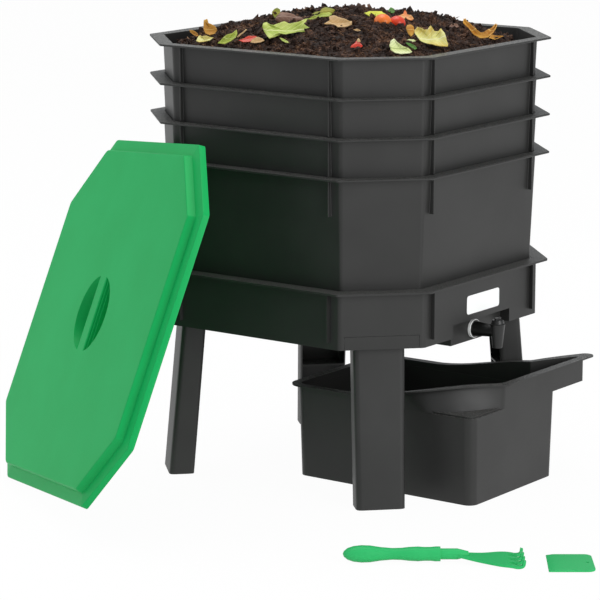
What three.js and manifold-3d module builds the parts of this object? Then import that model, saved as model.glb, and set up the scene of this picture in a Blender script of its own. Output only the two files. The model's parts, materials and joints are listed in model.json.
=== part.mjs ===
// A stacking tray wormery: an eight-sided base on four legs, four nesting trays, a lid, a tap,
// a collector bin and two hand tools.
// Millimetres, +Z up. The origin is on the ground under the middle of the stack, and -Y is the tap side.
import * as THREE from "three";
import { ConvexGeometry } from "three/addons/geometries/ConvexGeometry.js";
import { mergeVertices } from "three/addons/utils/BufferGeometryUtils.js";
import Module from "manifold-3d";

const wasm = await Module();
wasm.setup();

// Clearances and the overrun that every cut shares
const gap = 0.3;
const overrun = 4;
const arcSteps = 3;
const arcFitShare = 0.47;

// Rims: all five flanges are one eight-sided outline
const rim = { half: 210, cut: 79.7, thickness: 2.5, cornerRadius: 5 };

// Trays, top one first
const tray = {
  count: 4,
  pitch: 46.9,
  height: 144.7,
  overhang: 15.6,
  wall: 1.5,
  floor: 2,
  draftShare: 0.041,
  cornerRadius: 9,
  floorCornerRadius: 6,
  finOffset: 109,
  finDepth: 6,
  finThickness: 2,
  holeSize: 11,
  holePitch: 42,
  holesAcross: 8,
};

// Base: a skirt that carries the rim, and a bowl inside it that drains to a well behind the tap
const base = {
  top: 264.5,
  bottom: 194.8,
  overhang: 13.1,
  wall: 2.2,
  cornerRadius: 8,
  seatDepth: 9.7,
  seatClearance: 0.735,
  shelfWidth: 5.6,
  shelfThickness: 2.5,
  bowlEdge: 209,
  bowlLow: 199,
  finOffset: 110,
  finDepth: 5,
  finThickness: 2.2,
  finHeight: 59,
};
const well = { halfWidth: 48, length: 90, bottom: 181.4 };
const pocket = { halfWidth: 63, top: 211.3 };

// Legs: open channels that lean outwards, with a collar that fills the notch in the base's corner
const leg = {
  setback: 15.2,
  splay: 18,
  topWidth: 62.5,
  footWidth: 59.4,
  topDepth: 31,
  footDepth: 32.6,
  top: 203.5,
  wall: 2.5,
  footThickness: 3,
  cornerRadius: 7,
  ribCount: 4,
  collarWidth: 90,
  collarHeight: 16,
};

// Tap: a barrel through the well's front wall, with an upright plug at its outer end
const tap = {
  height: 195.7,
  reach: 36,
  stemRadius: 8,
  stemLength: 18,
  boreRadius: 4,
  flangeRadius: 10.5,
  flangeThickness: 2,
  barrelRadius: 9,
  barrelEndRadius: 6.5,
  seatTop: 9.5,
  seatDrop: 19.7,
  seatTopRadius: 9,
  seatBottomRadius: 6,
  plugTopRadius: 6,
  plugBottomRadius: 4.2,
  portRadius: 2.6,
  washerRadius: 11.5,
  washerThickness: 2,
  nutRadius: 12,
  nutThickness: 7,
  sealRadius: 11,
  sealThickness: 2,
  capRadius: 8,
  capHeight: 5,
  wingWidth: 3,
  wingHeight: 2.5,
  stalkRadius: 3,
  stalkSides: 8,
  nutSides: 6,
};
const runningGap = 0.06;
const roundSides = 32;
const gripSides = 48;

// Label: a bare plate above the tap
const label = { width: 72, height: 23, thickness: 0.8, radius: 4, bottom: 219, offset: 2 };

// Lid: an upright skirt, a sloping ledge, a riser and a raised face with a round hand grip
const lid = {
  half: 220.5,
  cut: 81.3,
  wall: 2.5,
  skirt: 6,
  ledgeWidth: 11.5,
  ledgeRise: 6,
  riserWidth: 6.5,
  riserRise: 7,
  edgeRadius: 1.2,
  cornerRadius: 8,
  gripRadius: 47.5,
  gripDepth: 14,
  gripSlope: 4,
  barWidth: 22,
  barStepWidth: 2,
  barStepDrop: 3.2,
  azimuth: -123.05,
  lean: 22.17,
  roll: 7.11,
  along: -8.9,
  standOff: 0.6,
};

// Compost: the bed in the top tray, heaped above its rim and lower towards two opposite corners
const compost = { crown: 37, edgeDrop: 9, cornerDrop: 9, lump: 4, lumpPitch: 64, rings: 9 };
const heapPower = 2.6;

// Scraps: each leaf's place in shares of the bed's half-width, its length and width in shares of
// the largest leaf's, its heading in degrees, and how far its ends rise in shares of the curl
const leaf = { length: 54, width: 32, thickness: 5, curl: 9, sides: 6, rings: 6 };
const leafPointShare = 0.35;
const leafShares = [
  [-0.7, -0.01, 1.04, 0.75, -54, 0.9],
  [-0.43, 0.16, 0.7, 0.6, -54, 0.6],
  [-0.12, 0.13, 0.6, 0.45, -54, 0.9],
  [-0.32, 0.0, 0.57, 0.35, -54, 0.4],
  [-0.49, -0.26, 0.61, 0.55, -54, 0.6],
  [-0.15, -0.31, 0.48, 0.45, -54, 0.5],
  [0.02, -0.42, 0.37, 0.45, -54, 0.9],
  [-0.33, -0.84, 0.75, 0.75, -54, 1.1],
  [-0.63, -0.82, 0.5, 0.5, -54, 0.9],
  [0.28, -0.81, 0.72, 0.4, -54, 1.6],
  [-0.67, 0.61, 0.35, 0.5, -54, 1.2],
  [-0.84, 0.33, 0.43, 0.45, -54, 0.9],
  [-0.83, 0.15, 0.45, 0.35, -54, 0.5],
];
const fruit = { radius: 10.5, sides: 10, rings: 6 };
const fruitShares = [
  [-0.23, -0.42],
  [-0.15, -0.47],
];
const clod = { radius: 21, height: 7.5, sides: 7, rings: 5 };
const clodShares = [
  [0.18, -0.52],
  [0.3, 0.12],
  [-0.1, 0.5],
  [-0.5, 0.5],
  [0.45, -0.3],
  [-0.15, -0.1],
];

// Bin: a drafted tub with a rim that rises to the front, a cut corner and a pouring spout
const bin = {
  x: 4.5,
  y: -114.5,
  legClearance: 9.62,
  sideDraft: 4,
  floorLength: 256,
  rimLength: 259,
  wall: 2.2,
  floor: 2.5,
  backHeight: 117,
  frontHeight: 139,
  swoopStart: 184,
  swoopEnd: 19,
  cornerCut: 69,
  ledgeCut: 9,
  cutRadius: 22,
  ledge: 109.5,
  spoutReach: 72,
  spoutDepth: 38,
  spoutRadius: 5.5,
  flange: 11,
  flangeThickness: 2.5,
  cornerRadius: 12,
  swoopSteps: 12,
};

// Hand rake: a grip, and a head whose fan ends in four hooked tines
const rake = {
  x: -366,
  y: -250,
  length: 203,
  gripLength: 109,
  gripRadius: 9.7,
  neckRadius: 6.2,
  fanStart: 128,
  fanHalf: 27,
  tineStart: 184,
  tineWidth: 6,
  tineCount: 4,
  sheet: 3,
  hook: 9,
  tang: 26,
  sheetSteps: 24,
};
const fanShares = [
  [0.5, 0.6],
  [0.84, 0.92],
];
const tineSplayShare = 0.99;
const scraper = {
  x: -222,
  y: -459,
  width: 51.6,
  height: 63.8,
  skew: 1.7,
  thickness: 2,
  radius: 8.7,
  hole: 1.8,
  holeInset: 7,
  bevel: 9,
};
const toolAngle = -54;
const gripTurnSides = 24;
const outlineSteps = 6;

const deg = THREE.MathUtils.degToRad;
const shrink = 2 - Math.SQRT2;

// Solids and meshes

function solid(geometry) {
  const bare = geometry.index ? geometry.toNonIndexed() : geometry.clone();
  bare.deleteAttribute("normal");
  bare.deleteAttribute("uv");
  const merged = mergeVertices(bare, 1e-4);
  return new wasm.Manifold(
    new wasm.Mesh({
      numProp: 3,
      vertProperties: merged.attributes.position.array,
      triVerts: new Uint32Array(merged.index.array),
    }),
  );
}

function geometryOf(shape) {
  const mesh = shape.getMesh();
  const positions = new Float32Array((mesh.vertProperties.length / mesh.numProp) * 3);
  for (let i = 0; i < positions.length / 3; i++)
    for (let k = 0; k < 3; k++) positions[3 * i + k] = mesh.vertProperties[mesh.numProp * i + k];
  const geometry = new THREE.BufferGeometry();
  geometry.setAttribute("position", new THREE.BufferAttribute(positions, 3));
  geometry.setIndex(new THREE.BufferAttribute(new Uint32Array(mesh.triVerts), 1));
  return geometry;
}

function piece(name, shape, material) {
  const geometry = geometryOf(shape).toNonIndexed();
  geometry.computeVertexNormals();
  const mesh = new THREE.Mesh(geometry, material.clone());
  mesh.name = name;
  return mesh;
}

const unite = (shapes) => shapes.reduce((all, one) => all.add(one));

// Outlines and lofts

// A closed polygon with each corner turned into an arc, the same number of points on every call.
// The radius is one for all the corners, or a list with one for each.
function rounded(points, radius) {
  const out = [];
  points.forEach((corner, i) => {
    const before = points[(i + points.length - 1) % points.length];
    const after = points[(i + 1) % points.length];
    const inward = before.clone().sub(corner);
    const onward = after.clone().sub(corner);
    const longest = Math.min(inward.length(), onward.length()) * arcFitShare;
    inward.normalize();
    onward.normalize();
    const half = Math.acos(THREE.MathUtils.clamp(inward.dot(onward), -1, 1)) / 2;
    const own = Array.isArray(radius) ? radius[i] : radius;
    const reach = Math.min(own / Math.tan(half), longest);
    const start = corner.clone().addScaledVector(inward, reach);
    const end = corner.clone().addScaledVector(onward, reach);
    const curve = new THREE.QuadraticBezierCurve(start, corner, end);
    for (let k = 0; k <= arcSteps; k++) out.push(curve.getPoint(k / arcSteps));
  });
  return out;
}

function octagon(half, cut, radius) {
  const flat = half - cut;
  const corners = [
    [half, -flat],
    [half, flat],
    [flat, half],
    [-flat, half],
    [-half, flat],
    [-half, -flat],
    [-flat, -half],
    [flat, -half],
  ];
  return rounded(corners.map(([x, y]) => new THREE.Vector2(x, y)), radius);
}

// The rims' outline drawn in, parallel to itself, until its long sides are at the given distance.
function body(half, radius) {
  const inset = rim.half - half;
  return octagon(half, rim.cut - shrink * inset, radius);
}

const level = (outline, z) => outline.map((p) => new THREE.Vector3(p.x, p.y, z));

// A closed skin over rings of equal count, each one anticlockwise seen from the last.
function loft(rings) {
  const count = rings[0].length;
  const positions = rings.flat().flatMap((p) => [p.x, p.y, p.z]);
  const index = [];
  for (let r = 0; r + 1 < rings.length; r++)
    for (let i = 0; i < count; i++) {
      const a = r * count + i;
      const b = r * count + ((i + 1) % count);
      index.push(a, b, b + count, a, b + count, a + count);
    }
  const cap = (ring, offset, up) => {
    const flat = ring.map((p) => new THREE.Vector2(p.x, p.y));
    for (const [a, b, c] of THREE.ShapeUtils.triangulateShape(flat, []))
      index.push(...(up ? [a, b, c] : [a, c, b]).map((k) => k + offset));
  };
  cap(rings[0], 0, false);
  cap(rings[rings.length - 1], (rings.length - 1) * count, true);
  const geometry = new THREE.BufferGeometry();
  geometry.setAttribute("position", new THREE.Float32BufferAttribute(positions, 3));
  geometry.setIndex(index);
  return solid(geometry);
}

function prism(outline, bottom, top) {
  const shape = new THREE.Shape(outline);
  const geometry = new THREE.ExtrudeGeometry(shape, { depth: top - bottom, bevelEnabled: false });
  geometry.translate(0, 0, bottom);
  return solid(geometry);
}

// A prism whose outline lies in the (y, z) plane and runs along X, or in (x, z) and runs along Y.
function sideways(outline, from, to, along) {
  const shape = new THREE.Shape(outline);
  const geometry = new THREE.ExtrudeGeometry(shape, { depth: to - from, bevelEnabled: false });
  geometry.translate(0, 0, from);
  const turn = new THREE.Matrix4();
  const [x, y, z] = [0, 1, 2].map((k) => new THREE.Vector3().setComponent(k, 1));
  if (along === "x") turn.makeBasis(y, z, x);
  else turn.makeBasis(x, z, y.negate());
  geometry.applyMatrix4(turn);
  return solid(geometry);
}

function box(x0, x1, y0, y1, z0, z1) {
  const geometry = new THREE.BoxGeometry(x1 - x0, y1 - y0, z1 - z0);
  geometry.translate((x0 + x1) / 2, (y0 + y1) / 2, (z0 + z1) / 2);
  return solid(geometry);
}

// A round piece on the Z axis, from radius and height pairs that start and end on the axis.
function turned(profile, sides = roundSides) {
  const geometry = new THREE.LatheGeometry(profile.map(([r, z]) => new THREE.Vector2(r, z)), sides);
  geometry.rotateX(Math.PI / 2);
  return solid(geometry);
}

const rod = (radius, bottom, top, sides) =>
  turned([[0, bottom], [radius, bottom], [radius, top], [0, top]], sides);
const cone = (low, high, bottom, top, sides) =>
  turned([[0, bottom], [low, bottom], [high, top], [0, top]], sides);

function place(shape, matrix) {
  return solid(geometryOf(shape).applyMatrix4(matrix));
}

// Trays

const bodyTop = rim.half - tray.overhang;
const rimTop = (n) => base.top - base.seatDepth - gap + tray.height + (tray.count - 1 - n) * tray.pitch;

// The half-width of a tray's outer wall at a depth below its rim
const trayHalf = (depth) => bodyTop - tray.draftShare * depth;

function trayHoles(floorBottom) {
  const cuts = [];
  const first = (-(tray.holesAcross - 1) / 2) * tray.holePitch;
  const last = tray.holesAcross - 1;
  for (let i = 0; i <= last; i++)
    for (let j = 0; j <= last; j++) {
      if ((i === 0 || i === last) && (j === 0 || j === last)) continue;
      const x = first + i * tray.holePitch;
      const y = first + j * tray.holePitch;
      const h = tray.holeSize / 2;
      cuts.push(box(x - h, x + h, y - h, y + h, floorBottom - overrun, floorBottom + tray.floor + overrun));
    }
  return unite(cuts);
}

// One fin stands on a long side, from the rim's underside down to just above the rim below.
function fin(half, offset, thickness, depth, bottom, top) {
  return box(offset - thickness / 2, offset + thickness / 2, -half - depth, -half + thickness, bottom, top);
}

function finsAround(one) {
  const all = [];
  for (let side = 0; side < 4; side++)
    for (const mirror of [1, -1]) {
      const turn = new THREE.Matrix4().makeRotationZ((side * Math.PI) / 2);
      all.push(place(one(mirror), turn));
    }
  return unite(all);
}

function trayShape() {
  const low = -tray.height;
  const under = -rim.thickness;
  const outer = loft([
    level(body(trayHalf(tray.height), tray.floorCornerRadius), low),
    level(body(trayHalf(rim.thickness), tray.cornerRadius), under),
    level(body(rim.half, rim.cornerRadius), under),
    level(body(rim.half, rim.cornerRadius), 0),
  ]);
  const inside = (depth) => body(trayHalf(depth) - tray.wall, tray.cornerRadius);
  const hollow = loft([
    level(inside(tray.height - tray.floor), low + tray.floor),
    level(inside(-overrun), overrun),
  ]);
  const fins = finsAround((mirror) =>
    fin(
      trayHalf(tray.pitch),
      mirror * tray.finOffset,
      tray.finThickness,
      tray.finDepth,
      -(tray.pitch - gap),
      under + rim.thickness / 2,
    ),
  );
  return outer.add(fins).subtract(hollow).subtract(trayHoles(low));
}

// Base

const skirtHalf = rim.half - base.overhang;
const seatHalf = trayHalf(tray.height - base.seatDepth) + base.seatClearance;
const bowlHalf = seatHalf - base.shelfWidth;
const seatLevel = base.top - base.seatDepth - gap;

function wellRectangle(grow, z) {
  const front = -bowlHalf + base.wall - grow;
  const back = -bowlHalf + well.length - base.wall + grow;
  const side = well.halfWidth - base.wall + grow;
  return [
    [-side, front],
    [side, front],
    [side, back],
    [-side, back],
  ].map(([x, y]) => new THREE.Vector3(x, y, z));
}

function funnel(half, grow, drop) {
  const edge = level(body(half, base.cornerRadius), base.bowlEdge - drop);
  return solid(new ConvexGeometry([...edge, ...wellRectangle(grow, base.bowlLow - drop)]));
}

// The notch, socket and collar lie across a corner of the base: +X is outwards here, Y runs across.
const cornerReach = (half) => (Math.SQRT2 * (2 * half - (rim.cut - shrink * (rim.half - half)))) / 2;
const quarterTurn = (n) => new THREE.Matrix4().makeRotationZ(Math.PI / 4 + (n * Math.PI) / 2);

// A leg's outer face, back edges and half-width at a height: it leans outwards and tapers.
function legAt(z) {
  const mix = (foot, top) => foot + ((top - foot) * z) / base.bottom;
  const topReach = cornerReach(skirtHalf) - leg.setback;
  const footReach = topReach + leg.splay;
  return {
    out: mix(footReach, topReach),
    back: mix(footReach - leg.footDepth, topReach - leg.topDepth),
    side: mix(leg.footWidth, leg.topWidth) / 2,
  };
}

function legSocket() {
  const out = legAt(base.bottom).out + gap;
  const back = legAt(leg.top).back - gap;
  const side = legAt(leg.top).side + gap;
  const low = base.bottom + leg.wall + gap;
  const top = leg.top + gap + base.wall;
  const shell = box(back - base.wall, out + base.wall, -side - base.wall, side + base.wall, low, top);
  const hole = box(back, out, -side, side, base.bottom - overrun, leg.top + gap);
  return { shell, hole };
}

// The bowl: a seat for the lowest tray, a floor that falls to the well, and the legs' sockets.
function bowlShape() {
  const outer = unite([
    prism(body(seatHalf + base.wall, base.cornerRadius), seatLevel - base.shelfThickness, base.top),
    prism(body(bowlHalf, base.cornerRadius), base.bowlEdge - base.wall, seatLevel),
    funnel(bowlHalf, base.wall, base.wall),
    box(-well.halfWidth, well.halfWidth, -bowlHalf, -bowlHalf + well.length, well.bottom, base.bowlLow),
    box(-well.halfWidth, well.halfWidth, -bowlHalf, -bowlHalf + base.wall, well.bottom, base.bowlEdge),
  ]);
  const side = well.halfWidth - base.wall;
  const front = -bowlHalf + base.wall;
  const back = -bowlHalf + well.length - base.wall;
  const hollow = unite([
    prism(body(seatHalf, base.cornerRadius), seatLevel, base.top + overrun),
    prism(body(bowlHalf - base.wall, base.cornerRadius), base.bowlEdge, seatLevel + overrun),
    funnel(bowlHalf - base.wall, 0, 0),
    box(-side, side, front, back, well.bottom + base.wall, base.bowlEdge + overrun),
  ]);
  const sockets = [0, 1, 2, 3].map((n) => {
    const { shell, hole } = legSocket();
    return { shell: place(shell, quarterTurn(n)), hole: place(hole, quarterTurn(n)) };
  });
  const tapBore = rod(tap.stemRadius + gap, -overrun, overrun + base.wall);
  const tapHole = place(tapBore, tapAxis(base.wall - bowlHalf));
  const shell = unite([outer.subtract(hollow), ...sockets.map((s) => s.shell)]);
  return shell.subtract(unite([tapHole, ...sockets.map((s) => s.hole)]));
}

// The skirt: the rim's flange, the wall under it with its fins, a pocket round the tap, and a notch
// at each leg.
function skirtShape() {
  const under = base.top - rim.thickness;
  const outer = loft([
    level(body(skirtHalf, base.cornerRadius), base.bottom),
    level(body(skirtHalf, base.cornerRadius), under),
    level(body(rim.half, rim.cornerRadius), under),
    level(body(rim.half, rim.cornerRadius), base.top),
  ]);
  const hollow = prism(body(skirtHalf - base.wall, base.cornerRadius), base.bottom - overrun, under);
  const mouth = prism(body(seatHalf + base.wall + gap, base.cornerRadius), under - overrun, base.top + overrun);
  const pocketShell = box(
    -pocket.halfWidth - base.wall,
    pocket.halfWidth + base.wall,
    -skirtHalf,
    -bowlHalf - gap,
    base.bottom,
    pocket.top + base.wall,
  );
  const pocketCut = box(
    -pocket.halfWidth,
    pocket.halfWidth,
    -skirtHalf - overrun,
    -bowlHalf + overrun,
    base.bottom - overrun,
    pocket.top,
  );
  const notch = box(
    cornerReach(skirtHalf - base.wall) - overrun,
    cornerReach(skirtHalf) + overrun,
    -leg.collarWidth / 2,
    leg.collarWidth / 2,
    base.bottom - overrun,
    base.bottom + leg.collarHeight,
  );
  const notches = [0, 1, 2, 3].map((n) => place(notch, quarterTurn(n)));
  const fins = finsAround((mirror) =>
    fin(
      skirtHalf,
      mirror * base.finOffset,
      base.finThickness,
      base.finDepth,
      under - base.finHeight,
      under + rim.thickness / 2,
    ),
  );
  const shell = outer.subtract(hollow).add(fins).add(pocketShell);
  return shell.subtract(unite([mouth, pocketCut, ...notches]));
}

// Legs

function legRing(z, inset) {
  const { out, back, side } = legAt(z);
  const behind = inset ? overrun : 0;
  const corners = [
    [out - inset, inset - side],
    [out - inset, side - inset],
    [back - behind, side - inset],
    [back - behind, inset - side],
  ].map(([x, y]) => new THREE.Vector2(x, y));
  return level(rounded(corners, leg.cornerRadius - inset), z);
}

function legShape() {
  const column = loft([legRing(0, 0), legRing(leg.top, 0)]);
  const parts = [];
  const bays = leg.ribCount + 1;
  const clear = leg.top - leg.footThickness - leg.wall;
  const bay = (clear - leg.ribCount * leg.wall) / bays;
  for (let n = 0; n < bays; n++) {
    const low = leg.footThickness + n * (bay + leg.wall);
    parts.push(loft([legRing(low, leg.wall), legRing(low + bay, leg.wall)]));
  }
  const channel = column.subtract(unite(parts));

  const outer = cornerReach(skirtHalf);
  const halfWidth = leg.collarWidth / 2 - gap;
  const top = base.bottom + leg.collarHeight - gap;
  const inside = legAt(base.bottom).out - leg.wall;
  const plate = box(outer - base.wall, outer, -halfWidth, halfWidth, base.bottom, top);
  const web = box(inside, outer, -halfWidth, halfWidth, base.bottom, base.bottom + leg.wall);
  const clearOfSocket = legAt(base.bottom).out + base.wall + gap * 2;
  const gussets = [1, -1].map((side) => {
    const y = side * (leg.topWidth / 2 - leg.wall);
    return box(clearOfSocket, outer, y - leg.wall / 2, y + leg.wall / 2, base.bottom, top);
  });
  return unite([channel, plate, web, ...gussets]);
}

// Tap

// Turns a piece made on the Z axis so that it points out of the base's front, at the tap's height.
function tapAxis(y) {
  const turn = new THREE.Matrix4().makeRotationX(Math.PI / 2);
  return new THREE.Matrix4().makeTranslation(0, y, tap.height).multiply(turn);
}

const tapFront = -bowlHalf - tap.reach;

function plugSpace(grow) {
  const high = tap.height + tap.seatTop;
  const low = tap.height - tap.seatDrop;
  return cone(tap.plugBottomRadius + grow, tap.plugTopRadius + grow, low, high).translate([0, tapFront, 0]);
}

function tapBodyShape() {
  const flangeAt = gap + tap.washerThickness + gap;
  const barrel = turned([
    [0, -(base.wall + tap.stemLength)],
    [tap.stemRadius, -(base.wall + tap.stemLength)],
    [tap.stemRadius, flangeAt],
    [tap.flangeRadius, flangeAt],
    [tap.flangeRadius, flangeAt + tap.flangeThickness],
    [tap.barrelRadius, flangeAt + tap.flangeThickness],
    [tap.barrelEndRadius, tap.reach],
    [0, tap.reach],
  ]);
  const seat = cone(
    tap.seatBottomRadius,
    tap.seatTopRadius,
    tap.height - tap.seatDrop,
    tap.height + tap.seatTop,
  ).translate([0, tapFront, 0]);
  const bore = rod(tap.boreRadius, -(base.wall + tap.stemLength + overrun), tap.reach);
  const out = tapAxis(-bowlHalf);
  const spread = cone(tap.plugBottomRadius, tap.plugBottomRadius, -overrun, overrun).translate([
    0,
    tapFront,
    tap.height - tap.seatDrop,
  ]);
  const cuts = unite([place(bore, out), plugSpace(runningGap), spread]);
  return place(barrel, out).add(seat).subtract(cuts);
}

// The plug is drilled up from its foot and out through one side, shown turned away from the barrel.
function tapPlugShape() {
  const across = new THREE.Matrix4().makeRotationY(Math.PI / 2);
  const port = place(rod(tap.portRadius, 0, tap.reach), across).translate([0, 0, tap.height]);
  const drain = rod(tap.portRadius, tap.height - tap.seatDrop - overrun, tap.height + tap.portRadius);
  const seatHigh = tap.height + tap.seatTop;
  const stalkTop = seatHigh + tap.capHeight - tap.wingHeight / 2;
  const stalk = rod(tap.stalkRadius, seatHigh - tap.portRadius, stalkTop, tap.stalkSides);
  const cuts = port.add(drain).translate([0, tapFront, 0]);
  return plugSpace(0).add(stalk.translate([0, tapFront, 0])).subtract(cuts);
}

function tapHandleShape() {
  const low = tap.height + tap.seatTop + gap;
  const high = low + tap.capHeight;
  const cap = cone(tap.capRadius, tap.capRadius - tap.wingHeight / 2, low, high);
  const wing = box(
    -tap.capRadius + tap.wingHeight,
    tap.capRadius - tap.wingHeight,
    -tap.wingWidth / 2,
    tap.wingWidth / 2,
    high - tap.wingHeight / 2,
    high + tap.wingHeight,
  );
  const socket = rod(tap.stalkRadius + gap / 2, low - overrun, high - tap.wingHeight / 2 + gap, tap.stalkSides);
  return cap.add(wing).subtract(socket).translate([0, tapFront, 0]);
}

function ring(outer, inner, thickness, sides) {
  return rod(outer, 0, thickness, sides).subtract(rod(inner, -overrun, thickness + overrun));
}

// Label

function labelShape() {
  const w = label.width / 2;
  const h = label.height;
  const corners = [
    [-w, 0],
    [w, 0],
    [w, h],
    [-w, h],
  ].map(([x, y]) => new THREE.Vector2(x + label.offset, y + label.bottom));
  const front = skirtHalf + gap / 2;
  return sideways(rounded(corners, label.radius), front, front + label.thickness, "y");
}

// Lid, made flat with its open side at zero, its face up and its top edge towards +Y

function lidOutline(inset, radius) {
  return octagon(lid.half - inset, lid.cut - shrink * inset, radius);
}

const lidHeight = lid.skirt + lid.ledgeRise + lid.riserRise;

function lidShape() {
  const ring = (inset, z) => level(lidOutline(inset, lid.cornerRadius), z);
  const ledgeTop = lid.skirt + lid.ledgeRise;
  const faceInset = lid.ledgeWidth + lid.riserWidth;
  const outer = loft([
    ring(0, 0),
    ring(0, lid.skirt - lid.edgeRadius),
    ring(lid.edgeRadius, lid.skirt),
    ring(lid.ledgeWidth, ledgeTop),
    ring(faceInset - lid.edgeRadius, lidHeight - lid.edgeRadius),
    ring(faceInset + lid.edgeRadius, lidHeight),
  ]);
  const under = loft([
    ring(lid.wall, -overrun),
    ring(lid.wall, lid.skirt - lid.wall),
    ring(lid.ledgeWidth + lid.wall, ledgeTop - lid.wall),
    ring(faceInset + lid.wall, lidHeight - lid.wall),
  ]);
  const low = lidHeight - lid.gripDepth;
  const foot = lid.gripRadius - lid.gripSlope;
  const lip = (lid.gripSlope * overrun) / lid.gripDepth;
  const skinTop = lidHeight - lid.wall / 2;
  const pan = cone(foot + lid.wall, lid.gripRadius + lid.wall, low - lid.wall, skinTop, gripSides);
  const dish = cone(foot, lid.gripRadius + lip, low, lidHeight + overrun, gripSides);

  // The bar across the grip steps out twice on each side
  const half = lid.barWidth / 2;
  const oneSide = [
    [half + lid.barStepWidth * 2, low - lid.wall / 2],
    [half + lid.barStepWidth * 2, lidHeight - lid.barStepDrop * 2],
    [half + lid.barStepWidth, lidHeight - lid.barStepDrop * 2],
    [half + lid.barStepWidth, lidHeight - lid.barStepDrop],
    [half, lidHeight - lid.barStepDrop],
    [half, lidHeight - lid.edgeRadius],
    [half - lid.edgeRadius, lidHeight],
  ];
  const otherSide = oneSide.map(([x, z]) => [-x, z]).reverse();
  const barProfile = [...oneSide, ...otherSide].map(([x, z]) => new THREE.Vector2(x, z));
  const barEnd = lid.gripRadius + lid.wall / 2;
  const bar = sideways(barProfile, -barEnd, barEnd, "y");
  const slot = box(
    lid.wall - half,
    half - lid.wall,
    -foot,
    foot,
    low - lid.wall - overrun,
    lidHeight - lid.wall,
  );
  return outer.subtract(under).add(pan).subtract(dish).add(bar).subtract(slot);
}

// The lid stands on its lowest corner and leans, with its upper lip just outside the rim's corner.
function lidPlace() {
  const azimuth = deg(lid.azimuth);
  const lean = deg(lid.lean);
  const roll = deg(lid.roll);
  const level0 = new THREE.Vector3(Math.cos(azimuth), Math.sin(azimuth), 0);
  const up = new THREE.Vector3(0, 0, 1);
  const inward = level0.clone().cross(up);
  const slope = up.clone().multiplyScalar(Math.cos(lean)).addScaledVector(inward, -Math.sin(lean));
  const face = level0.clone().cross(slope);
  const across = level0.clone().multiplyScalar(Math.cos(roll)).addScaledVector(slope, Math.sin(roll));
  const along = face.clone().cross(across);
  const turn = new THREE.Matrix4().makeBasis(across, along, face);
  const lowest = Math.min(...level(lidOutline(0, lid.cornerRadius), 0).map((p) => p.applyMatrix4(turn).z));
  const lip = new THREE.Vector3(lid.along, lid.half, 0).applyMatrix4(turn);
  const away = new THREE.Vector3(face.x, face.y, 0).normalize().multiplyScalar(lid.standOff);
  const x = -rim.half + away.x - lip.x;
  const y = rim.half - rim.cut + away.y - lip.y;
  return turn.setPosition(x, y, -lowest);
}

// Compost

const bedInset = tray.wall + gap * 2;
const bedEdge = rimTop(0) - compost.edgeDrop;
const bedHalf = trayHalf(compost.edgeDrop) - bedInset;

// The heap's height over a point whose share of the way from the middle to the wall is given
function heapTop(x, y, share) {
  const slant = (x - y) / Math.SQRT2 / cornerReach(bedHalf);
  const edge = bedEdge - compost.cornerDrop * slant * slant;
  const wave = Math.sin((x / compost.lumpPitch) * Math.PI) * Math.cos((y / compost.lumpPitch) * Math.PI);
  return edge + compost.crown * (1 - share ** heapPower) + compost.lump * wave * (1 - share);
}

// A flattened ball with its poles along X, drawn to points there and curled up at both ends
function scrapShape(form, { radii, point, curl }) {
  const geometry = new THREE.SphereGeometry(1, form.sides, form.rings);
  geometry.rotateZ(Math.PI / 2);
  const places = geometry.attributes.position;
  for (let k = 0; k < places.count; k++) {
    const x = places.getX(k);
    const y = places.getY(k) * (1 - point * x * x);
    places.setXYZ(k, x * radii[0], y * radii[1], places.getZ(k) * radii[2] + curl * x * x);
  }
  return solid(geometry);
}

// Lays a scrap on the heap, at shares of the bed's half-width.
function lay(shape, [xShare, yShare], heading) {
  const x = xShare * bedHalf;
  const y = yShare * bedHalf;
  const share = Math.max(
    Math.abs(xShare),
    Math.abs(yShare),
    (Math.abs(x) + Math.abs(y)) / Math.SQRT2 / cornerReach(bedHalf),
  );
  const turn = new THREE.Matrix4().makeRotationZ(deg(heading));
  return place(shape, turn.setPosition(x, y, heapTop(x, y, share)));
}

function compostShape() {
  const floorTop = rimTop(0) - tray.height + tray.floor + gap;
  const outline = body(bedHalf, tray.cornerRadius);
  const rings = [level(body(trayHalf(rimTop(0) - floorTop) - bedInset, tray.cornerRadius), floorTop)];
  for (let k = 0; k <= compost.rings; k++) {
    const share = 1 - k / (compost.rings + 1);
    const ring = outline.map((p) => p.clone().multiplyScalar(share));
    rings.push(ring.map((p) => new THREE.Vector3(p.x, p.y, heapTop(p.x, p.y, share))));
  }
  const leaves = leafShares.map(([x, y, long, wide, heading, curled]) => {
    const radii = [(leaf.length * long) / 2, (leaf.width * wide) / 2, leaf.thickness / 2];
    return lay(scrapShape(leaf, { radii, point: leafPointShare, curl: leaf.curl * curled }), [x, y], heading);
  });
  const round = (form, radii, places) =>
    places.map((at, k) => lay(scrapShape(form, { radii, point: 0, curl: 0 }), at, (k * 180) / form.sides));
  const balls = round(fruit, [fruit.radius, fruit.radius, fruit.radius], fruitShares);
  const clods = round(clod, [clod.radius, clod.radius, clod.height], clodShares);
  return unite([loft(rings), ...leaves, ...balls, ...clods]);
}

// Bin, made about the middle of its own rim. It slides in between the front legs.

const legSpan = Math.SQRT2 * (legAt(base.bottom).back - legAt(base.bottom).side);
const binRimWidth = legSpan - 2 * bin.legClearance;
const binFloorWidth = binRimWidth - 2 * bin.sideDraft;

function binOutline(width, length, grow) {
  const w = width / 2 + grow;
  const l = length / 2 + grow;
  return [
    [w, l],
    [-w, l],
    [-w, -l],
    [w, -l],
  ].map(([x, y]) => new THREE.Vector2(x, y));
}

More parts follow.
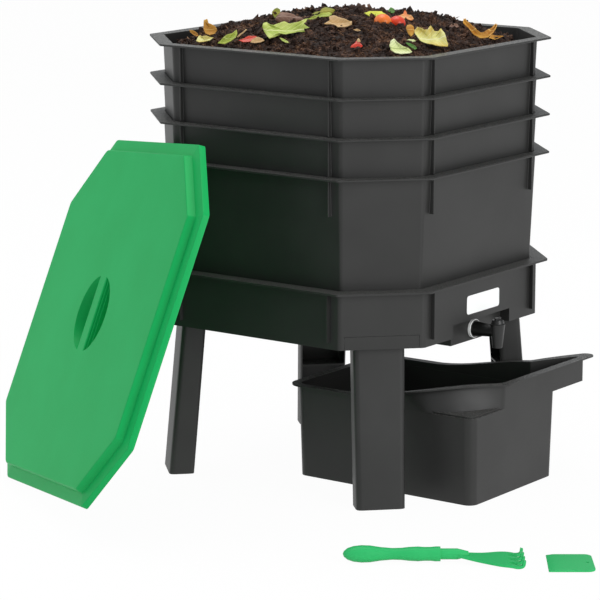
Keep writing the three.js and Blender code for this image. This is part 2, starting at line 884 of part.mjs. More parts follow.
// Moves every side of a polygon outwards by the same distance, keeping its corners sharp.
function offsetOutline(points, distance) {
  return points.map((p, i) => {
    const before = points[(i + points.length - 1) % points.length];
    const after = points[(i + 1) % points.length];
    const a = p.clone().sub(before).normalize();
    const b = after.clone().sub(p).normalize();
    const normal = (d) => new THREE.Vector2(d.y, -d.x);
    const sum = normal(a).add(normal(b));
    return p.clone().addScaledVector(sum, distance / (1 + normal(a).dot(normal(b))));
  });
}

// The rim's corners, from the rear right one round to the spout. The cut at the front left is wide at
// the rim and closes towards the ledge.
function collarCorners(cut) {
  const w = binRimWidth / 2;
  const l = bin.rimLength / 2;
  return [
    [w, l],
    [-w, l],
    [-w, -l + cut],
    [-w + bin.cornerCut, -l],
    [w + bin.spoutReach, -l],
    [w, -l + bin.spoutDepth],
  ].map(([x, y]) => new THREE.Vector2(x, y));
}

// The rim's height along the bin: level at the back, a smooth rise, level at the front
function rimProfile(drop) {
  const front = -bin.rimLength / 2;
  const points = [];
  for (let k = 0; k <= bin.swoopSteps; k++) {
    const share = k / bin.swoopSteps;
    const y = front + bin.swoopStart + (bin.swoopEnd - bin.swoopStart) * share;
    const rise = THREE.MathUtils.smoothstep(share, 0, 1) * (bin.frontHeight - bin.backHeight);
    points.push(new THREE.Vector2(y, bin.backHeight + rise - drop));
  }
  const far = bin.rimLength / 2 + bin.flange + overrun;
  points.unshift(new THREE.Vector2(far, bin.backHeight - drop));
  points.push(new THREE.Vector2(-far, bin.frontHeight - drop));
  return points;
}

function binShape() {
  const reach = binRimWidth + bin.spoutReach;
  const far = bin.rimLength / 2 + bin.flange + overrun;
  const top = rimProfile(0);
  const belowRim = sideways(
    [...top, new THREE.Vector2(-far, -overrun), new THREE.Vector2(far, -overrun)],
    -reach,
    reach,
    "x",
  );
  const sheet = sideways([...top, ...rimProfile(bin.flangeThickness).reverse()], -reach, reach, "x");
  const at = (outline, z) => level(rounded(outline, bin.cornerRadius), z);
  const share = bin.ledge / bin.backHeight;
  const midWidth = binFloorWidth + (binRimWidth - binFloorWidth) * share;
  const midLength = bin.floorLength + (bin.rimLength - bin.floorLength) * share;
  const tub = (grow, low, high) =>
    loft([
      at(binOutline(binFloorWidth, bin.floorLength, grow), low),
      at(binOutline(midWidth, midLength, grow), high),
    ]);

  const cutAt = (z) =>
    bin.ledgeCut + ((bin.cornerCut - bin.ledgeCut) * (z - bin.ledge)) / (bin.frontHeight - bin.ledge);
  const collarRing = (grow, z, cutZ = z) => {
    const rear = bin.cornerRadius + Math.max(grow, 0);
    const radii = [rear, rear, bin.cutRadius, bin.cutRadius, bin.spoutRadius, bin.spoutRadius];
    return level(rounded(offsetOutline(collarCorners(cutAt(cutZ)), grow), radii), z);
  };
  const above = bin.frontHeight + overrun;
  const collar = loft([
    collarRing(0, bin.ledge - bin.wall, bin.ledge),
    collarRing(0, bin.ledge),
    collarRing(0, above),
  ]);
  const collarHollow = loft([collarRing(-bin.wall, bin.ledge), collarRing(-bin.wall, above)]);
  const flange = prism(collarRing(bin.flange, 0, bin.frontHeight), bin.ledge - overrun, above).intersect(sheet);
  const shell = unite([tub(0, 0, bin.ledge), collar]).intersect(belowRim).add(flange);
  const tubHollow = tub(-bin.wall, bin.floor, bin.ledge - bin.wall);

  // The way through the ledge, as wide as both hollows allow
  const low = bin.ledge - bin.wall - bin.floor;
  const high = bin.ledge + bin.floor;
  const tubInside = rounded(offsetOutline(binOutline(midWidth, midLength, 0), -bin.wall), bin.cornerRadius);
  const throat = prism(tubInside, low, high).intersect(prism(collarRing(-bin.wall, 0, bin.ledge), low, high));
  return shell.subtract(tubHollow).subtract(throat).subtract(collarHollow);
}

// Hand rake, made along +X from its butt, with the ground at zero

const gripShares = [
  [0.0, 0.0],
  [0.012, 0.34],
  [0.05, 0.68],
  [0.11, 0.9],
  [0.19, 1.0],
  [0.28, 0.97],
  [0.39, 0.78],
  [0.51, 0.67],
  [0.6, 0.7],
  [0.68, 0.8],
  [0.77, 0.85],
  [0.83, 0.8],
  [0.9, 0.8],
  [0.95, 0.86],
  [1.0, 0.86],
];

function alongX(shape) {
  const turn = new THREE.Matrix4().makeRotationY(Math.PI / 2);
  return place(shape, turn).translate([0, 0, rake.gripRadius]);
}

function rakeGripShape() {
  const profile = gripShares.map(([s, r]) => [r * rake.gripRadius, s * rake.gripLength]);
  const mouth = rake.neckRadius + gap;
  const depth = rake.gripLength - rake.tang - gap;
  return alongX(turned([...profile, [mouth, rake.gripLength], [mouth, depth], [0, depth]], gripTurnSides));
}

const tinePitch = (2 * rake.fanHalf - rake.tineWidth) / (rake.tineCount - 1);

function rakeOutline() {
  const slotHalf = (tinePitch - rake.tineWidth) / 2;
  const upper = [
    [rake.fanStart, rake.neckRadius],
    ...fanShares.map(([s, r]) => [rake.fanStart + (rake.tineStart - rake.fanStart) * s, rake.fanHalf * r]),
    [rake.tineStart + slotHalf, rake.fanHalf],
    [rake.length, rake.fanHalf * tineSplayShare],
  ];
  const [first, ...rest] = upper.map(([x, y]) => new THREE.Vector2(x, -y));
  const back = upper.map(([x, y]) => new THREE.Vector2(x, y)).reverse();
  const shape = new THREE.Shape();
  shape.moveTo(rake.fanStart - overrun, -rake.neckRadius);
  shape.lineTo(first.x, first.y);
  shape.splineThru(rest);
  for (let n = 0; n < rake.tineCount - 1; n++) {
    const middle = -rake.fanHalf + rake.tineWidth + slotHalf + n * tinePitch;
    shape.lineTo(rake.length, middle - slotHalf);
    shape.lineTo(rake.tineStart + slotHalf, middle - slotHalf);
    shape.absarc(rake.tineStart + slotHalf, middle, slotHalf, -Math.PI / 2, Math.PI / 2, true);
    shape.lineTo(rake.length, middle + slotHalf);
  }
  shape.lineTo(back[0].x, back[0].y);
  shape.splineThru(back.slice(1));
  shape.lineTo(rake.fanStart - overrun, rake.neckRadius);
  return shape.getPoints(outlineSteps);
}

// The sheet's side view: down from the neck to the ground, along it, and up into the hooks
function rakeSheet() {
  const path = new THREE.CatmullRomCurve3(
    [
      [rake.fanStart - overrun, rake.gripRadius],
      [rake.fanStart + overrun, rake.gripRadius - rake.sheet / 2],
      [(rake.fanStart + rake.tineStart) / 2, rake.gripRadius / 2],
      [rake.tineStart, rake.sheet],
      [rake.length - rake.hook, rake.sheet / 2],
      [rake.length - rake.sheet, rake.sheet],
      [rake.length - rake.sheet / 2, rake.hook],
    ].map(([x, z]) => new THREE.Vector3(x, 0, z)),
    false,
    "catmullrom",
  );
  const side = (sign) => {
    const points = [];
    for (let k = 0; k <= rake.sheetSteps; k++) {
      const p = path.getPoint(k / rake.sheetSteps);
      const t = path.getTangent(k / rake.sheetSteps).multiplyScalar((sign * rake.sheet) / 2);
      points.push(new THREE.Vector2(p.x - t.z, p.z + t.x));
    }
    return points;
  };
  const outline = [...side(-1), ...side(1).reverse()];
  outline.forEach((p) => (p.y = Math.max(p.y, 0)));
  return sideways(outline, -rake.fanHalf - overrun, rake.fanHalf + overrun, "y");
}

function rakeHeadShape() {
  const fan = prism(rakeOutline(), -overrun, rake.gripRadius * 2 + overrun).intersect(rakeSheet());
  const tangStart = rake.gripLength - rake.tang;
  const neck = alongX(
    turned(
      [
        [0, tangStart],
        [rake.neckRadius, tangStart],
        [rake.neckRadius, rake.fanStart],
        [rake.neckRadius / 2, rake.fanStart + rake.neckRadius * 2],
        [0, rake.fanStart + rake.neckRadius * 2],
      ],
      roundSides / 2,
    ),
  );
  const ground = box(0, rake.length, -rake.fanHalf, rake.fanHalf, -rake.gripRadius, 0);
  return fan.add(neck).subtract(ground);
}

function scraperShape() {
  const w = scraper.width / 2;
  const h = scraper.height / 2;
  const shape = new THREE.Shape();
  shape.moveTo(-w - scraper.skew / 2, -h);
  shape.lineTo(w - scraper.radius, -h);
  shape.absarc(w - scraper.radius, -h + scraper.radius, scraper.radius, -Math.PI / 2, 0, false);
  shape.lineTo(w, h - scraper.radius);
  shape.absarc(w - scraper.radius, h - scraper.radius, scraper.radius, 0, Math.PI / 2, false);
  shape.lineTo(-w + scraper.skew / 2, h);
  const plate = prism(shape.getPoints(outlineSteps), 0, scraper.thickness);
  const edge = scraper.thickness / 4;
  const bevel = sideways(
    [
      [-w - scraper.skew - overrun, edge],
      [-w - scraper.skew, edge],
      [-w + scraper.bevel, scraper.thickness],
      [-w + scraper.bevel, scraper.thickness + overrun],
      [-w - scraper.skew - overrun, scraper.thickness + overrun],
    ].map(([x, z]) => new THREE.Vector2(x, z)),
    -h - overrun,
    h + overrun,
    "y",
  );
  const hole = rod(scraper.hole, -overrun, scraper.thickness + overrun, roundSides / 2);
  return plate.subtract(bevel).subtract(hole.translate([w - scraper.holeInset, 0, 0]));
}

// Materials

const plastic = (color, roughness) => new THREE.MeshStandardMaterial({ color, roughness, metalness: 0 });
const blackPlastic = plastic(0x3d3d3c, 0.5);
const greenPlastic = plastic(0x3fae66, 0.4);
const whitePlastic = plastic(0xf2f2ee, 0.45);
const sealRubber = plastic(0x1c1c1c, 0.85);
const soil = plastic(0x2a1a12, 0.95);

// Assembly

const wormery = new THREE.Group();
wormery.add(piece("sump_base", bowlShape(), blackPlastic));
wormery.add(piece("base_skirt", skirtShape(), blackPlastic));

const legNames = ["leg_rear_right", "leg_rear_left", "leg_front_left", "leg_front_right"];
legNames.forEach((name, n) => {
  const mesh = piece(name, legShape(), blackPlastic);
  mesh.applyMatrix4(quarterTurn(n));
  wormery.add(mesh);
});

for (let n = 0; n < tray.count; n++) {
  const mesh = piece(`tray_${n + 1}`, trayShape(), blackPlastic);
  mesh.position.z = rimTop(n);
  wormery.add(mesh);
}
wormery.add(piece("compost_bed", compostShape(), soil));

const onTap = (name, shape, y, material) => {
  const mesh = piece(name, shape, material);
  mesh.applyMatrix4(tapAxis(y));
  wormery.add(mesh);
};
const wallInside = -bowlHalf + base.wall;
const sealAt = wallInside + gap + tap.sealThickness;
wormery.add(piece("tap_body", tapBodyShape(), blackPlastic));
const hole = tap.stemRadius + gap;
onTap("tap_washer", ring(tap.washerRadius, hole, tap.washerThickness), -bowlHalf - gap, whitePlastic);
onTap("tap_inner_seal", ring(tap.sealRadius, hole, tap.sealThickness), sealAt, sealRubber);
const nutAt = sealAt + gap + tap.nutThickness;
onTap("tap_nut", ring(tap.nutRadius, hole, tap.nutThickness, tap.nutSides), nutAt, blackPlastic);
wormery.add(piece("tap_plug", tapPlugShape(), blackPlastic));
wormery.add(piece("tap_handle", tapHandleShape(), blackPlastic));
wormery.add(piece("label_plate", labelShape(), whitePlastic));

const lidMesh = piece("lid", lidShape(), greenPlastic);
lidMesh.applyMatrix4(lidPlace());
wormery.add(lidMesh);

const binMesh = piece("collector_bin", binShape(), blackPlastic);
binMesh.position.set(bin.x, bin.y, 0);
wormery.add(binMesh);

const rakeTool = new THREE.Group();
rakeTool.add(piece("rake_grip", rakeGripShape(), greenPlastic));
rakeTool.add(piece("rake_head", rakeHeadShape(), greenPlastic));
rakeTool.position.set(rake.x, rake.y, 0);
rakeTool.rotation.z = deg(toolAngle);
wormery.add(rakeTool);

const scraperMesh = piece("scraper", scraperShape(), greenPlastic);
scraperMesh.position.set(scraper.x, scraper.y, 0);
scraperMesh.rotation.z = deg(toolAngle);
wormery.add(scraperMesh);

export default wormery;
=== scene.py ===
"""Dresses the wormery: moulded plastic, compost with kitchen scraps, a plain studio and the camera."""

import json
import logging
import math
from dataclasses import dataclass
from enum import Enum
from typing import Any, Sequence

import bmesh
import bpy
from mathutils import Euler, Matrix, Vector, noise


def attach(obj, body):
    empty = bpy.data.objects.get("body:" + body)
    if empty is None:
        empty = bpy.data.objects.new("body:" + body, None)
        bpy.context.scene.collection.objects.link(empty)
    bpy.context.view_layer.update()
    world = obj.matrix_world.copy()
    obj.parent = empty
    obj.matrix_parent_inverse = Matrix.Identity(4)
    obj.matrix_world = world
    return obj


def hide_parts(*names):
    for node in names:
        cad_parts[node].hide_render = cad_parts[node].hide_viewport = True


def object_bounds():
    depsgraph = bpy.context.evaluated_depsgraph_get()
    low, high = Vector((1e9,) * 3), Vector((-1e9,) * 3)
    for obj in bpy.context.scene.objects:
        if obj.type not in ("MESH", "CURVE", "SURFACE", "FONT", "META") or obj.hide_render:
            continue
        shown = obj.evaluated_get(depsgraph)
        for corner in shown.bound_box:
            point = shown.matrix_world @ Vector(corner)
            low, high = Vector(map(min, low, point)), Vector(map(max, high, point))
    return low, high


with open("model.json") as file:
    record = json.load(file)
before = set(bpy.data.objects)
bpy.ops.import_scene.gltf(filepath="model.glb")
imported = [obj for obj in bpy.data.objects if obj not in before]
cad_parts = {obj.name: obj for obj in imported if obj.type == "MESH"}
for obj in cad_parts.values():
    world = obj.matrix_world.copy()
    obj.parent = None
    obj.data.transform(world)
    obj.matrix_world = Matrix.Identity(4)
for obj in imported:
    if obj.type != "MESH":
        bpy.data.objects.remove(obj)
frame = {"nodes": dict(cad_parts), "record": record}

LOG = logging.getLogger("wormery")
CAD_BOX = [list(corner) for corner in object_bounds()]
MM = 0.001
# The way that the photograph looks, in degrees clockwise from +Y. The scraps are tilted up towards it.
AZIMUTH = 53.9647
ROOT_2 = math.sqrt(2)

Place = tuple[float, float]
Span = tuple[float, float]
Rows = list[list[bmesh.types.BMVert]]
Surface = tuple[list[tuple[float, float, float]], list[list[int]]]


def linear(hex_colour: str) -> tuple[float, float, float, float]:
    """Turns an sRGB colour into the linear one that a shader takes.

    Args:
        hex_colour: six hexadecimal digits after a hash.

    Returns:
        Red, green, blue and an alpha of one.
    """

    def channel(value: float) -> float:
        """Undoes the sRGB curve on one channel."""
        return value / 12.92 if value <= 0.04045 else ((value + 0.055) / 1.055) ** 2.4

    digits = hex_colour.lstrip("#")
    red, green, blue = (channel(int(digits[i : i + 2], 16) / 255) for i in (0, 2, 4))
    return red, green, blue, 1.0


def add_node(
    tree: bpy.types.NodeTree, kind: str, inputs: dict[Any, Any] | None = None, **settings: Any
) -> Any:
    """Adds a node, sets its properties, and fills or links its inputs.

    Args:
        tree: the shader or geometry tree.
        kind: the node's type name.
        inputs: values or sockets for the inputs, by name or number.
        settings: properties of the node.

    Returns:
        The new node.
    """
    new = tree.nodes.new(kind)
    for key, value in settings.items():
        setattr(new, key, value)
    for key, value in (inputs or {}).items():
        if isinstance(value, bpy.types.NodeSocket):
            tree.links.new(value, new.inputs[key])
        else:
            new.inputs[key].default_value = value
    return new


def cleared(owner: bpy.types.Material | bpy.types.World) -> bpy.types.NodeTree:
    """Turns on a material's or world's nodes and removes the ones that it comes with.

    Args:
        owner: the material or the world.

    Returns:
        Its empty tree.
    """
    owner.use_nodes = True
    owner.node_tree.nodes.clear()
    return owner.node_tree


def new_material(name: str) -> tuple[bpy.types.Material, bpy.types.NodeTree, Any]:
    """Starts a material.

    Args:
        name: the material's name.

    Returns:
        The material, its tree and its principled shader.
    """
    material = bpy.data.materials.new(name)
    tree = cleared(material)
    shader = add_node(tree, "ShaderNodeBsdfPrincipled")
    add_node(tree, "ShaderNodeOutputMaterial", {"Surface": shader.outputs["BSDF"]})
    return material, tree, shader


@dataclass(frozen=True)
class MouldedPlastic:
    """Injection-moulded plastic: satin, with the fine grain of a spark-eroded mould.

    To the eye it is one even colour, a little paler in broad patches where it has been handled, with soft
    highlights that the grain breaks up. The grain is drawn at 1.4 mm, coarser than the real 0.2 mm, so that
    it shows. A finish with painted top light has pale grainy speckles of painted highlight on its level
    faces, such as the tops of the rims, standing in for the light that falls on them from above.

    A span gives where its effect starts and where it is full, and the sheen's span is added to the roughness.
    """

    name: str
    colour: str
    worn_colour: str
    roughness: float = 0.45
    grain_mm: float = 1.4
    grain_depth: float = 0.12
    painted_top_light: float = 0.0
    gloss: float = 0.5
    ior: float = 1.49
    patch_mm: float = 71.43
    worn_from: Span = (0.35, 0.75)
    # The pale colour of the painted top light, a painted highlight on level faces.
    top_light_colour: str = "#8b8a86"
    top_light_from: Span = (0.75, 0.98)
    top_light_grains: Span = (0.45, 0.62)
    sheen: Span = (-0.06, 0.1)
    pit_mm: float = 0.3

    def build(self) -> bpy.types.Material:
        """Makes the material.

        Returns:
            The finished material.
        """
        material, tree, shader = new_material(self.name)
        coords = add_node(tree, "ShaderNodeTexCoord").outputs["Object"]
        patches = add_node(
            tree, "ShaderNodeTexNoise", {"Vector": coords, "Scale": 1 / (self.patch_mm * MM), "Detail": 4.0}
        )
        grain = add_node(
            tree,
            "ShaderNodeTexNoise",
            {"Vector": coords, "Scale": 1 / (self.grain_mm * MM), "Detail": 3.0, "Roughness": 0.6},
        )
        low, high = self.worn_from
        worn = add_node(
            tree, "ShaderNodeMapRange", {"Value": patches.outputs["Fac"], "From Min": low, "From Max": high}
        )
        colour = add_node(
            tree,
            "ShaderNodeMix",
            {"Factor": worn.outputs["Result"], "A": linear(self.colour), "B": linear(self.worn_colour)},
            data_type="RGBA",
        ).outputs["Result"]
        # Painted top light: pale grainy speckles on faces that point up stand in for the highlight that light
        # from above puts on the rim tops.
        if self.painted_top_light:
            normal = add_node(tree, "ShaderNodeNewGeometry").outputs["Normal"]
            upward = add_node(tree, "ShaderNodeSeparateXYZ", {"Vector": normal}).outputs["Z"]
            low, high = self.top_light_from
            level = add_node(tree, "ShaderNodeMapRange", {"Value": upward, "From Min": low, "From Max": high})
            low, high = self.top_light_grains
            grains = add_node(
                tree,
                "ShaderNodeMapRange",
                {"Value": grain.outputs["Fac"], "From Min": low, "From Max": high, "To Max": self.painted_top_light},
            )
            top_light_amount = add_node(
                tree,
                "ShaderNodeMath",
                {0: level.outputs["Result"], 1: grains.outputs["Result"]},
                operation="MULTIPLY",
            )
            colour = add_node(
                tree,
                "ShaderNodeMix",
                {"Factor": top_light_amount.outputs["Value"], "A": colour, "B": linear(self.top_light_colour)},
                data_type="RGBA",
            ).outputs["Result"]
        smoother, rougher = self.sheen
        sheen = add_node(
            tree,
            "ShaderNodeMapRange",
            {
                "Value": grain.outputs["Fac"],
                "To Min": self.roughness + smoother,
                "To Max": self.roughness + rougher,
            },
        )
        bump = add_node(
            tree,
            "ShaderNodeBump",
            {"Height": grain.outputs["Fac"], "Strength": self.grain_depth, "Distance": self.pit_mm * MM},
        )
        tree.links.new(colour, shader.inputs["Base Color"])
        tree.links.new(sheen.outputs["Result"], shader.inputs["Roughness"])
        tree.links.new(bump.outputs["Normal"], shader.inputs["Normal"])
        shader.inputs["IOR"].default_value = self.ior
        shader.inputs["Specular IOR Level"].default_value = self.gloss
        return material


@dataclass(frozen=True)
class Humus:
    """Moist worm compost, or the plant fibres in it: crumbled, and laid on loosely.

    To the eye it is nearly black in the hollows and brown on the crumbs, with pale flecks where these have
    dried, and it has next to no shine.
    """

    name: str
    dark: str
    mid: str
    pale: str
    roughness: float = 0.8
    gloss: float = 0.3
    patch_mm: float = 22.22
    crumb_mm: float = 3.846
    fleck_mm: float = 1.923
    pit_mm: float = 1.5
    mid_at: float = 0.52
    spread: Span = (0.7, 1.35)

    def build(self) -> bpy.types.Material:
        """Makes the material.

        Returns:
            The finished material.
        """
        material, tree, shader = new_material(self.name)
        coords = add_node(tree, "ShaderNodeTexCoord").outputs["Object"]
        patch = add_node(
            tree, "ShaderNodeTexNoise", {"Vector": coords, "Scale": 1 / (self.patch_mm * MM), "Detail": 3.0}
        )
        crumb = add_node(
            tree, "ShaderNodeTexVoronoi", {"Vector": coords, "Scale": 1 / (self.crumb_mm * MM)}
        )
        fleck = add_node(
            tree, "ShaderNodeTexNoise", {"Vector": coords, "Scale": 1 / (self.fleck_mm * MM), "Detail": 4.0}
        )
        both = add_node(
            tree, "ShaderNodeMath", {0: patch.outputs["Fac"], 1: fleck.outputs["Fac"]}, operation="ADD"
        )
        low, high = self.spread
        dryness = add_node(
            tree, "ShaderNodeMapRange", {"Value": both.outputs["Value"], "From Min": low, "From Max": high}
        )
        ramp = add_node(tree, "ShaderNodeValToRGB", {"Fac": dryness.outputs["Result"]})
        stops = ramp.color_ramp.elements
        for stop, (place, colour) in zip(stops, ((0.0, self.dark), (1.0, self.pale))):
            stop.position = place
            stop.color = linear(colour)
        stops.new(self.mid_at).color = linear(self.mid)
        bump = add_node(
            tree,
            "ShaderNodeBump",
            {"Height": crumb.outputs["Distance"], "Strength": 0.5, "Distance": self.pit_mm * MM},
        )
        tree.links.new(ramp.outputs["Color"], shader.inputs["Base Color"])
        tree.links.new(bump.outputs["Normal"], shader.inputs["Normal"])
        shader.inputs["Roughness"].default_value = self.roughness
        shader.inputs["Specular IOR Level"].default_value = self.gloss
        return material


@dataclass(frozen=True)
class Leaf:
    """A fallen leaf or a peel, on its own UV map: thin, half dry, with a rib and slanting side veins.

    To the eye its colour runs from the middle to the edge in uneven blotches, the veins are paler and a
    little sunk, and it has a dull, waxy shine. The veins are drawn some 1 mm wide, so that they show.
    """

    name: str
    middle: str
    edge: str
    vein: str
    roughness: float = 0.55
    ior: float = 1.42
    blotch_mm: float = 11.11
    edge_from: Span = (0.55, 1.05)
    rib_share: float = 0.035
    side_veins: float = 44.0
    side_slant: float = -0.7
    side_strength: float = 0.55
    sunk_mm: float = 0.6

    def build(self) -> bpy.types.Material:
        """Makes the material.

        Returns:
            The finished material.
        """
        material, tree, shader = new_material(self.name)
        coords = add_node(tree, "ShaderNodeTexCoord")
        axes = add_node(tree, "ShaderNodeSeparateXYZ", {"Vector": coords.outputs["UV"]})
        across = add_node(tree, "ShaderNodeMath", {0: axes.outputs["Y"], 1: 0.5}, operation="SUBTRACT")
        away = add_node(tree, "ShaderNodeMath", {0: across.outputs["Value"]}, operation="ABSOLUTE")
        blotch = add_node(
            tree,
            "ShaderNodeTexNoise",
            {"Vector": coords.outputs["Object"], "Scale": 1 / (self.blotch_mm * MM), "Detail": 4.0},
        )
        outward = add_node(
            tree,
            "ShaderNodeMath",
            {0: away.outputs["Value"], 1: 1.2, 2: blotch.outputs["Fac"]},
            operation="MULTIPLY_ADD",
        )
        low, high = self.edge_from
        share = add_node(
            tree, "ShaderNodeMapRange", {"Value": outward.outputs["Value"], "From Min": low, "From Max": high}
        )
        body = add_node(
            tree,
            "ShaderNodeMix",
            {"Factor": share.outputs["Result"], "A": linear(self.middle), "B": linear(self.edge)},
            data_type="RGBA",
        )
        rib = add_node(
            tree,
            "ShaderNodeMapRange",
            {
                "Value": away.outputs["Value"],
                "From Min": 0.0,
                "From Max": self.rib_share,
                "To Min": 1.0,
                "To Max": 0.0,
            },
        )
        slant = add_node(
            tree,
            "ShaderNodeMath",
            {0: away.outputs["Value"], 1: self.side_slant, 2: axes.outputs["X"]},
            operation="MULTIPLY_ADD",
        )
        side = add_node(
            tree, "ShaderNodeMath", {0: slant.outputs["Value"], 1: self.side_veins}, operation="MULTIPLY"
        )
        wave = add_node(tree, "ShaderNodeMath", {0: side.outputs["Value"]}, operation="SINE")
        branch = add_node(
            tree,
            "ShaderNodeMapRange",
            {
                "Value": wave.outputs["Value"],
                "From Min": 0.9,
                "From Max": 1.0,
                "To Max": self.side_strength,
            },
        )
        veins = add_node(
            tree,
            "ShaderNodeMath",
            {0: rib.outputs["Result"], 1: branch.outputs["Result"]},
            operation="MAXIMUM",
        )
        colour = add_node(
            tree,
            "ShaderNodeMix",
            {"Factor": veins.outputs["Value"], "A": body.outputs["Result"], "B": linear(self.vein)},
            data_type="RGBA",
        )
        bump = add_node(
            tree,
            "ShaderNodeBump",
            {"Height": veins.outputs["Value"], "Strength": 0.4, "Distance": self.sunk_mm * MM},
        )
        tree.links.new(colour.outputs["Result"], shader.inputs["Base Color"])
        tree.links.new(bump.outputs["Normal"], shader.inputs["Normal"])
        shader.inputs["Roughness"].default_value = self.roughness
        shader.inputs["IOR"].default_value = self.ior
        return material


# Black polypropylene, moulded: a neutral near-black that soft light lifts to dark grey, with painted top
# light speckled pale on the rims.
BLACK = MouldedPlastic("black_polypropylene", "#232322", "#2b2b2a", painted_top_light=0.75, gloss=0.42)
# Green polypropylene, moulded: the lid's clean mid green, satin, with little shine on its broad face.
GREEN = MouldedPlastic(
    "green_polypropylene", "#0fa655", "#16ac5b", roughness=0.42, grain_depth=0.06, gloss=0.14
)
# The same plastic in the tools' paler mix: a brighter green with a soft highlight along the rounded grip.
BRIGHT = MouldedPlastic(
    "bright_green_polypropylene", "#2cb566", "#34bc6c", roughness=0.42, grain_depth=0.06, gloss=0.2
)
# Black acetal, moulded: the tap is harder, smoother and shinier than the boxes, and so looks blacker.
JET = MouldedPlastic("black_acetal", "#121212", "#191918", roughness=0.36, grain_depth=0.05)
# White polypropylene, moulded: the label plate and the tap's washer, clean and nearly without grain.
WHITE = MouldedPlastic("white_polypropylene", "#f8f8f6", "#fbfbfa", roughness=0.4, grain_depth=0.03)
# Black rubber, moulded: the tap's inner seal, dark and matt.
RUBBER = MouldedPlastic("black_seal_rubber", "#1c1c1c", "#222222", roughness=0.8, grain_depth=0.1)
# Worm compost: dark and moist, with warm brown crumbs.
HUMUS = Humus("worm_compost", "#0f0704", "#2e1c13", "#74523c")
# Plant fibres: dry, straw-brown splinters that stand out from the compost.
FIBRE = Humus("plant_fibre", "#3a2415", "#6d4c33", "#b08a63")


def linked(name: str, mesh: bpy.types.Mesh) -> bpy.types.Object:
    """Puts a mesh in the scene as an object at the origin.

    Args:
        name: the object's name.
        mesh: its mesh.

    Returns:
        The object.
    """
    obj = bpy.data.objects.new(name, mesh)
    bpy.context.scene.collection.objects.link(obj)
    return obj


def settled(name: str, bm: bmesh.types.BMesh, material: bpy.types.Material | None = None) -> bpy.types.Object:
    """Turns a mesh under construction into a piece in the scene.

    Args:
        name: the piece's name.
        bm: the mesh under construction, which is freed.
        material: the piece's finish, if it has it already.

    Returns:
        The piece.
    """
    mesh = bpy.data.meshes.new(name)
    bm.to_mesh(mesh)
    bm.free()
    if material:
        mesh.materials.append(material)
    return linked(name, mesh)


def skinned(bm: bmesh.types.BMesh, rows: Rows) -> None:
    """Joins rings of equally many points with faces, each ring to the next.

    Args:
        bm: the mesh under construction.
        rows: the rings, in order.
    """
    for low, high in zip(rows, rows[1:]):
        for i in range(len(low)):
            j = (i + 1) % len(low)
            bm.faces.new((low[i], low[j], high[j], high[i]))


def flattened(obj: bpy.types.Object) -> bpy.types.Object:
    """Turns an object and its modifiers into a plain mesh on the same object.

    Args:
        obj: the object with modifiers.

    Returns:
        The same object, with no modifier left.
    """
    bpy.context.view_layer.update()
    mesh = bpy.data.meshes.new_from_object(obj.evaluated_get(bpy.context.evaluated_depsgraph_get()))
    obj.modifiers.clear()
    obj.data = mesh
    mesh.name = obj.name
    return obj


def kept_in_box(piece: bpy.types.Object) -> bpy.types.Object:
    """Presses whatever stands out of the CAD model's box back onto its sides.

    Args:
        piece: a piece that may stand out by a millimetre or two.

    Returns:
        The piece.
    """
    low, high = CAD_BOX
    for vert in piece.data.vertices:
        vert.co = Vector(min(max(at, a), b) for at, a, b in zip(vert.co, low, high))
    return piece


def report(
    piece: bpy.types.Object, body: str, replaced: Sequence[str] = ()
) -> bpy.types.Object:
    """Keeps a finished piece in the CAD model's box, hangs it on the body that it rides on, and hides the CAD
    nodes that it stands for.

    Args:
        piece: the finished piece.
        body: the CAD body that it rides on.
        replaced: the CAD nodes that it hides.

    Returns:
        The piece.
    """
    kept_in_box(piece)
    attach(piece, body)
    if replaced:
        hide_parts(*replaced)
    LOG.info("%s: %d faces on %s", piece.name, len(piece.data.polygons), body)
    return piece


@dataclass(frozen=True)
class MouldRadius:
    """The small radius that a mould leaves on every edge. Sizes in millimetres, angles in degrees."""

    width: float
    weld: float = 0.01
    flat: float = 1.0
    sharp: float = 40.0
    segments: int = 2

    def put_on(self, piece: bpy.types.Object, material: bpy.types.Material) -> bpy.types.Object:
        """Joins a piece's loose triangles, rounds its edges and gives it its finish.

        Args:
            piece: the raw piece, with a mesh of its own.
            material: the finish.

        Returns:
            The finished piece.
        """
        mesh = piece.data
        bm = bmesh.new()
        bm.from_mesh(mesh)
        bmesh.ops.remove_doubles(bm, verts=bm.verts, dist=self.weld * MM)
        bmesh.ops.dissolve_limit(bm, angle_limit=math.radians(self.flat), verts=bm.verts, edges=bm.edges)
        for face in bm.faces:
            face.smooth = True
        bm.to_mesh(mesh)
        bm.free()
        mesh.materials.clear()
        mesh.materials.append(material)
        bevel = piece.modifiers.new("mould_radius", "BEVEL")
        bevel.width = self.width * MM
        bevel.segments = self.segments
        bevel.limit_method = "ANGLE"
        bevel.angle_limit = math.radians(self.sharp)
        bevel.use_clamp_overlap = True
        normals = piece.modifiers.new("flat_faces", "WEIGHTED_NORMAL")
        normals.keep_sharp = True
        return flattened(piece)


def traced(node: str) -> bpy.types.Object:
    """Copies a CAD node's mesh into a new piece.

    Args:
        node: the CAD node's name.

    Returns:
        The new piece, still without a finish of its own.
    """
    mesh = frame["nodes"][node].data.copy()
    mesh.name = f"{node}_moulding"
    return linked(mesh.name, mesh)


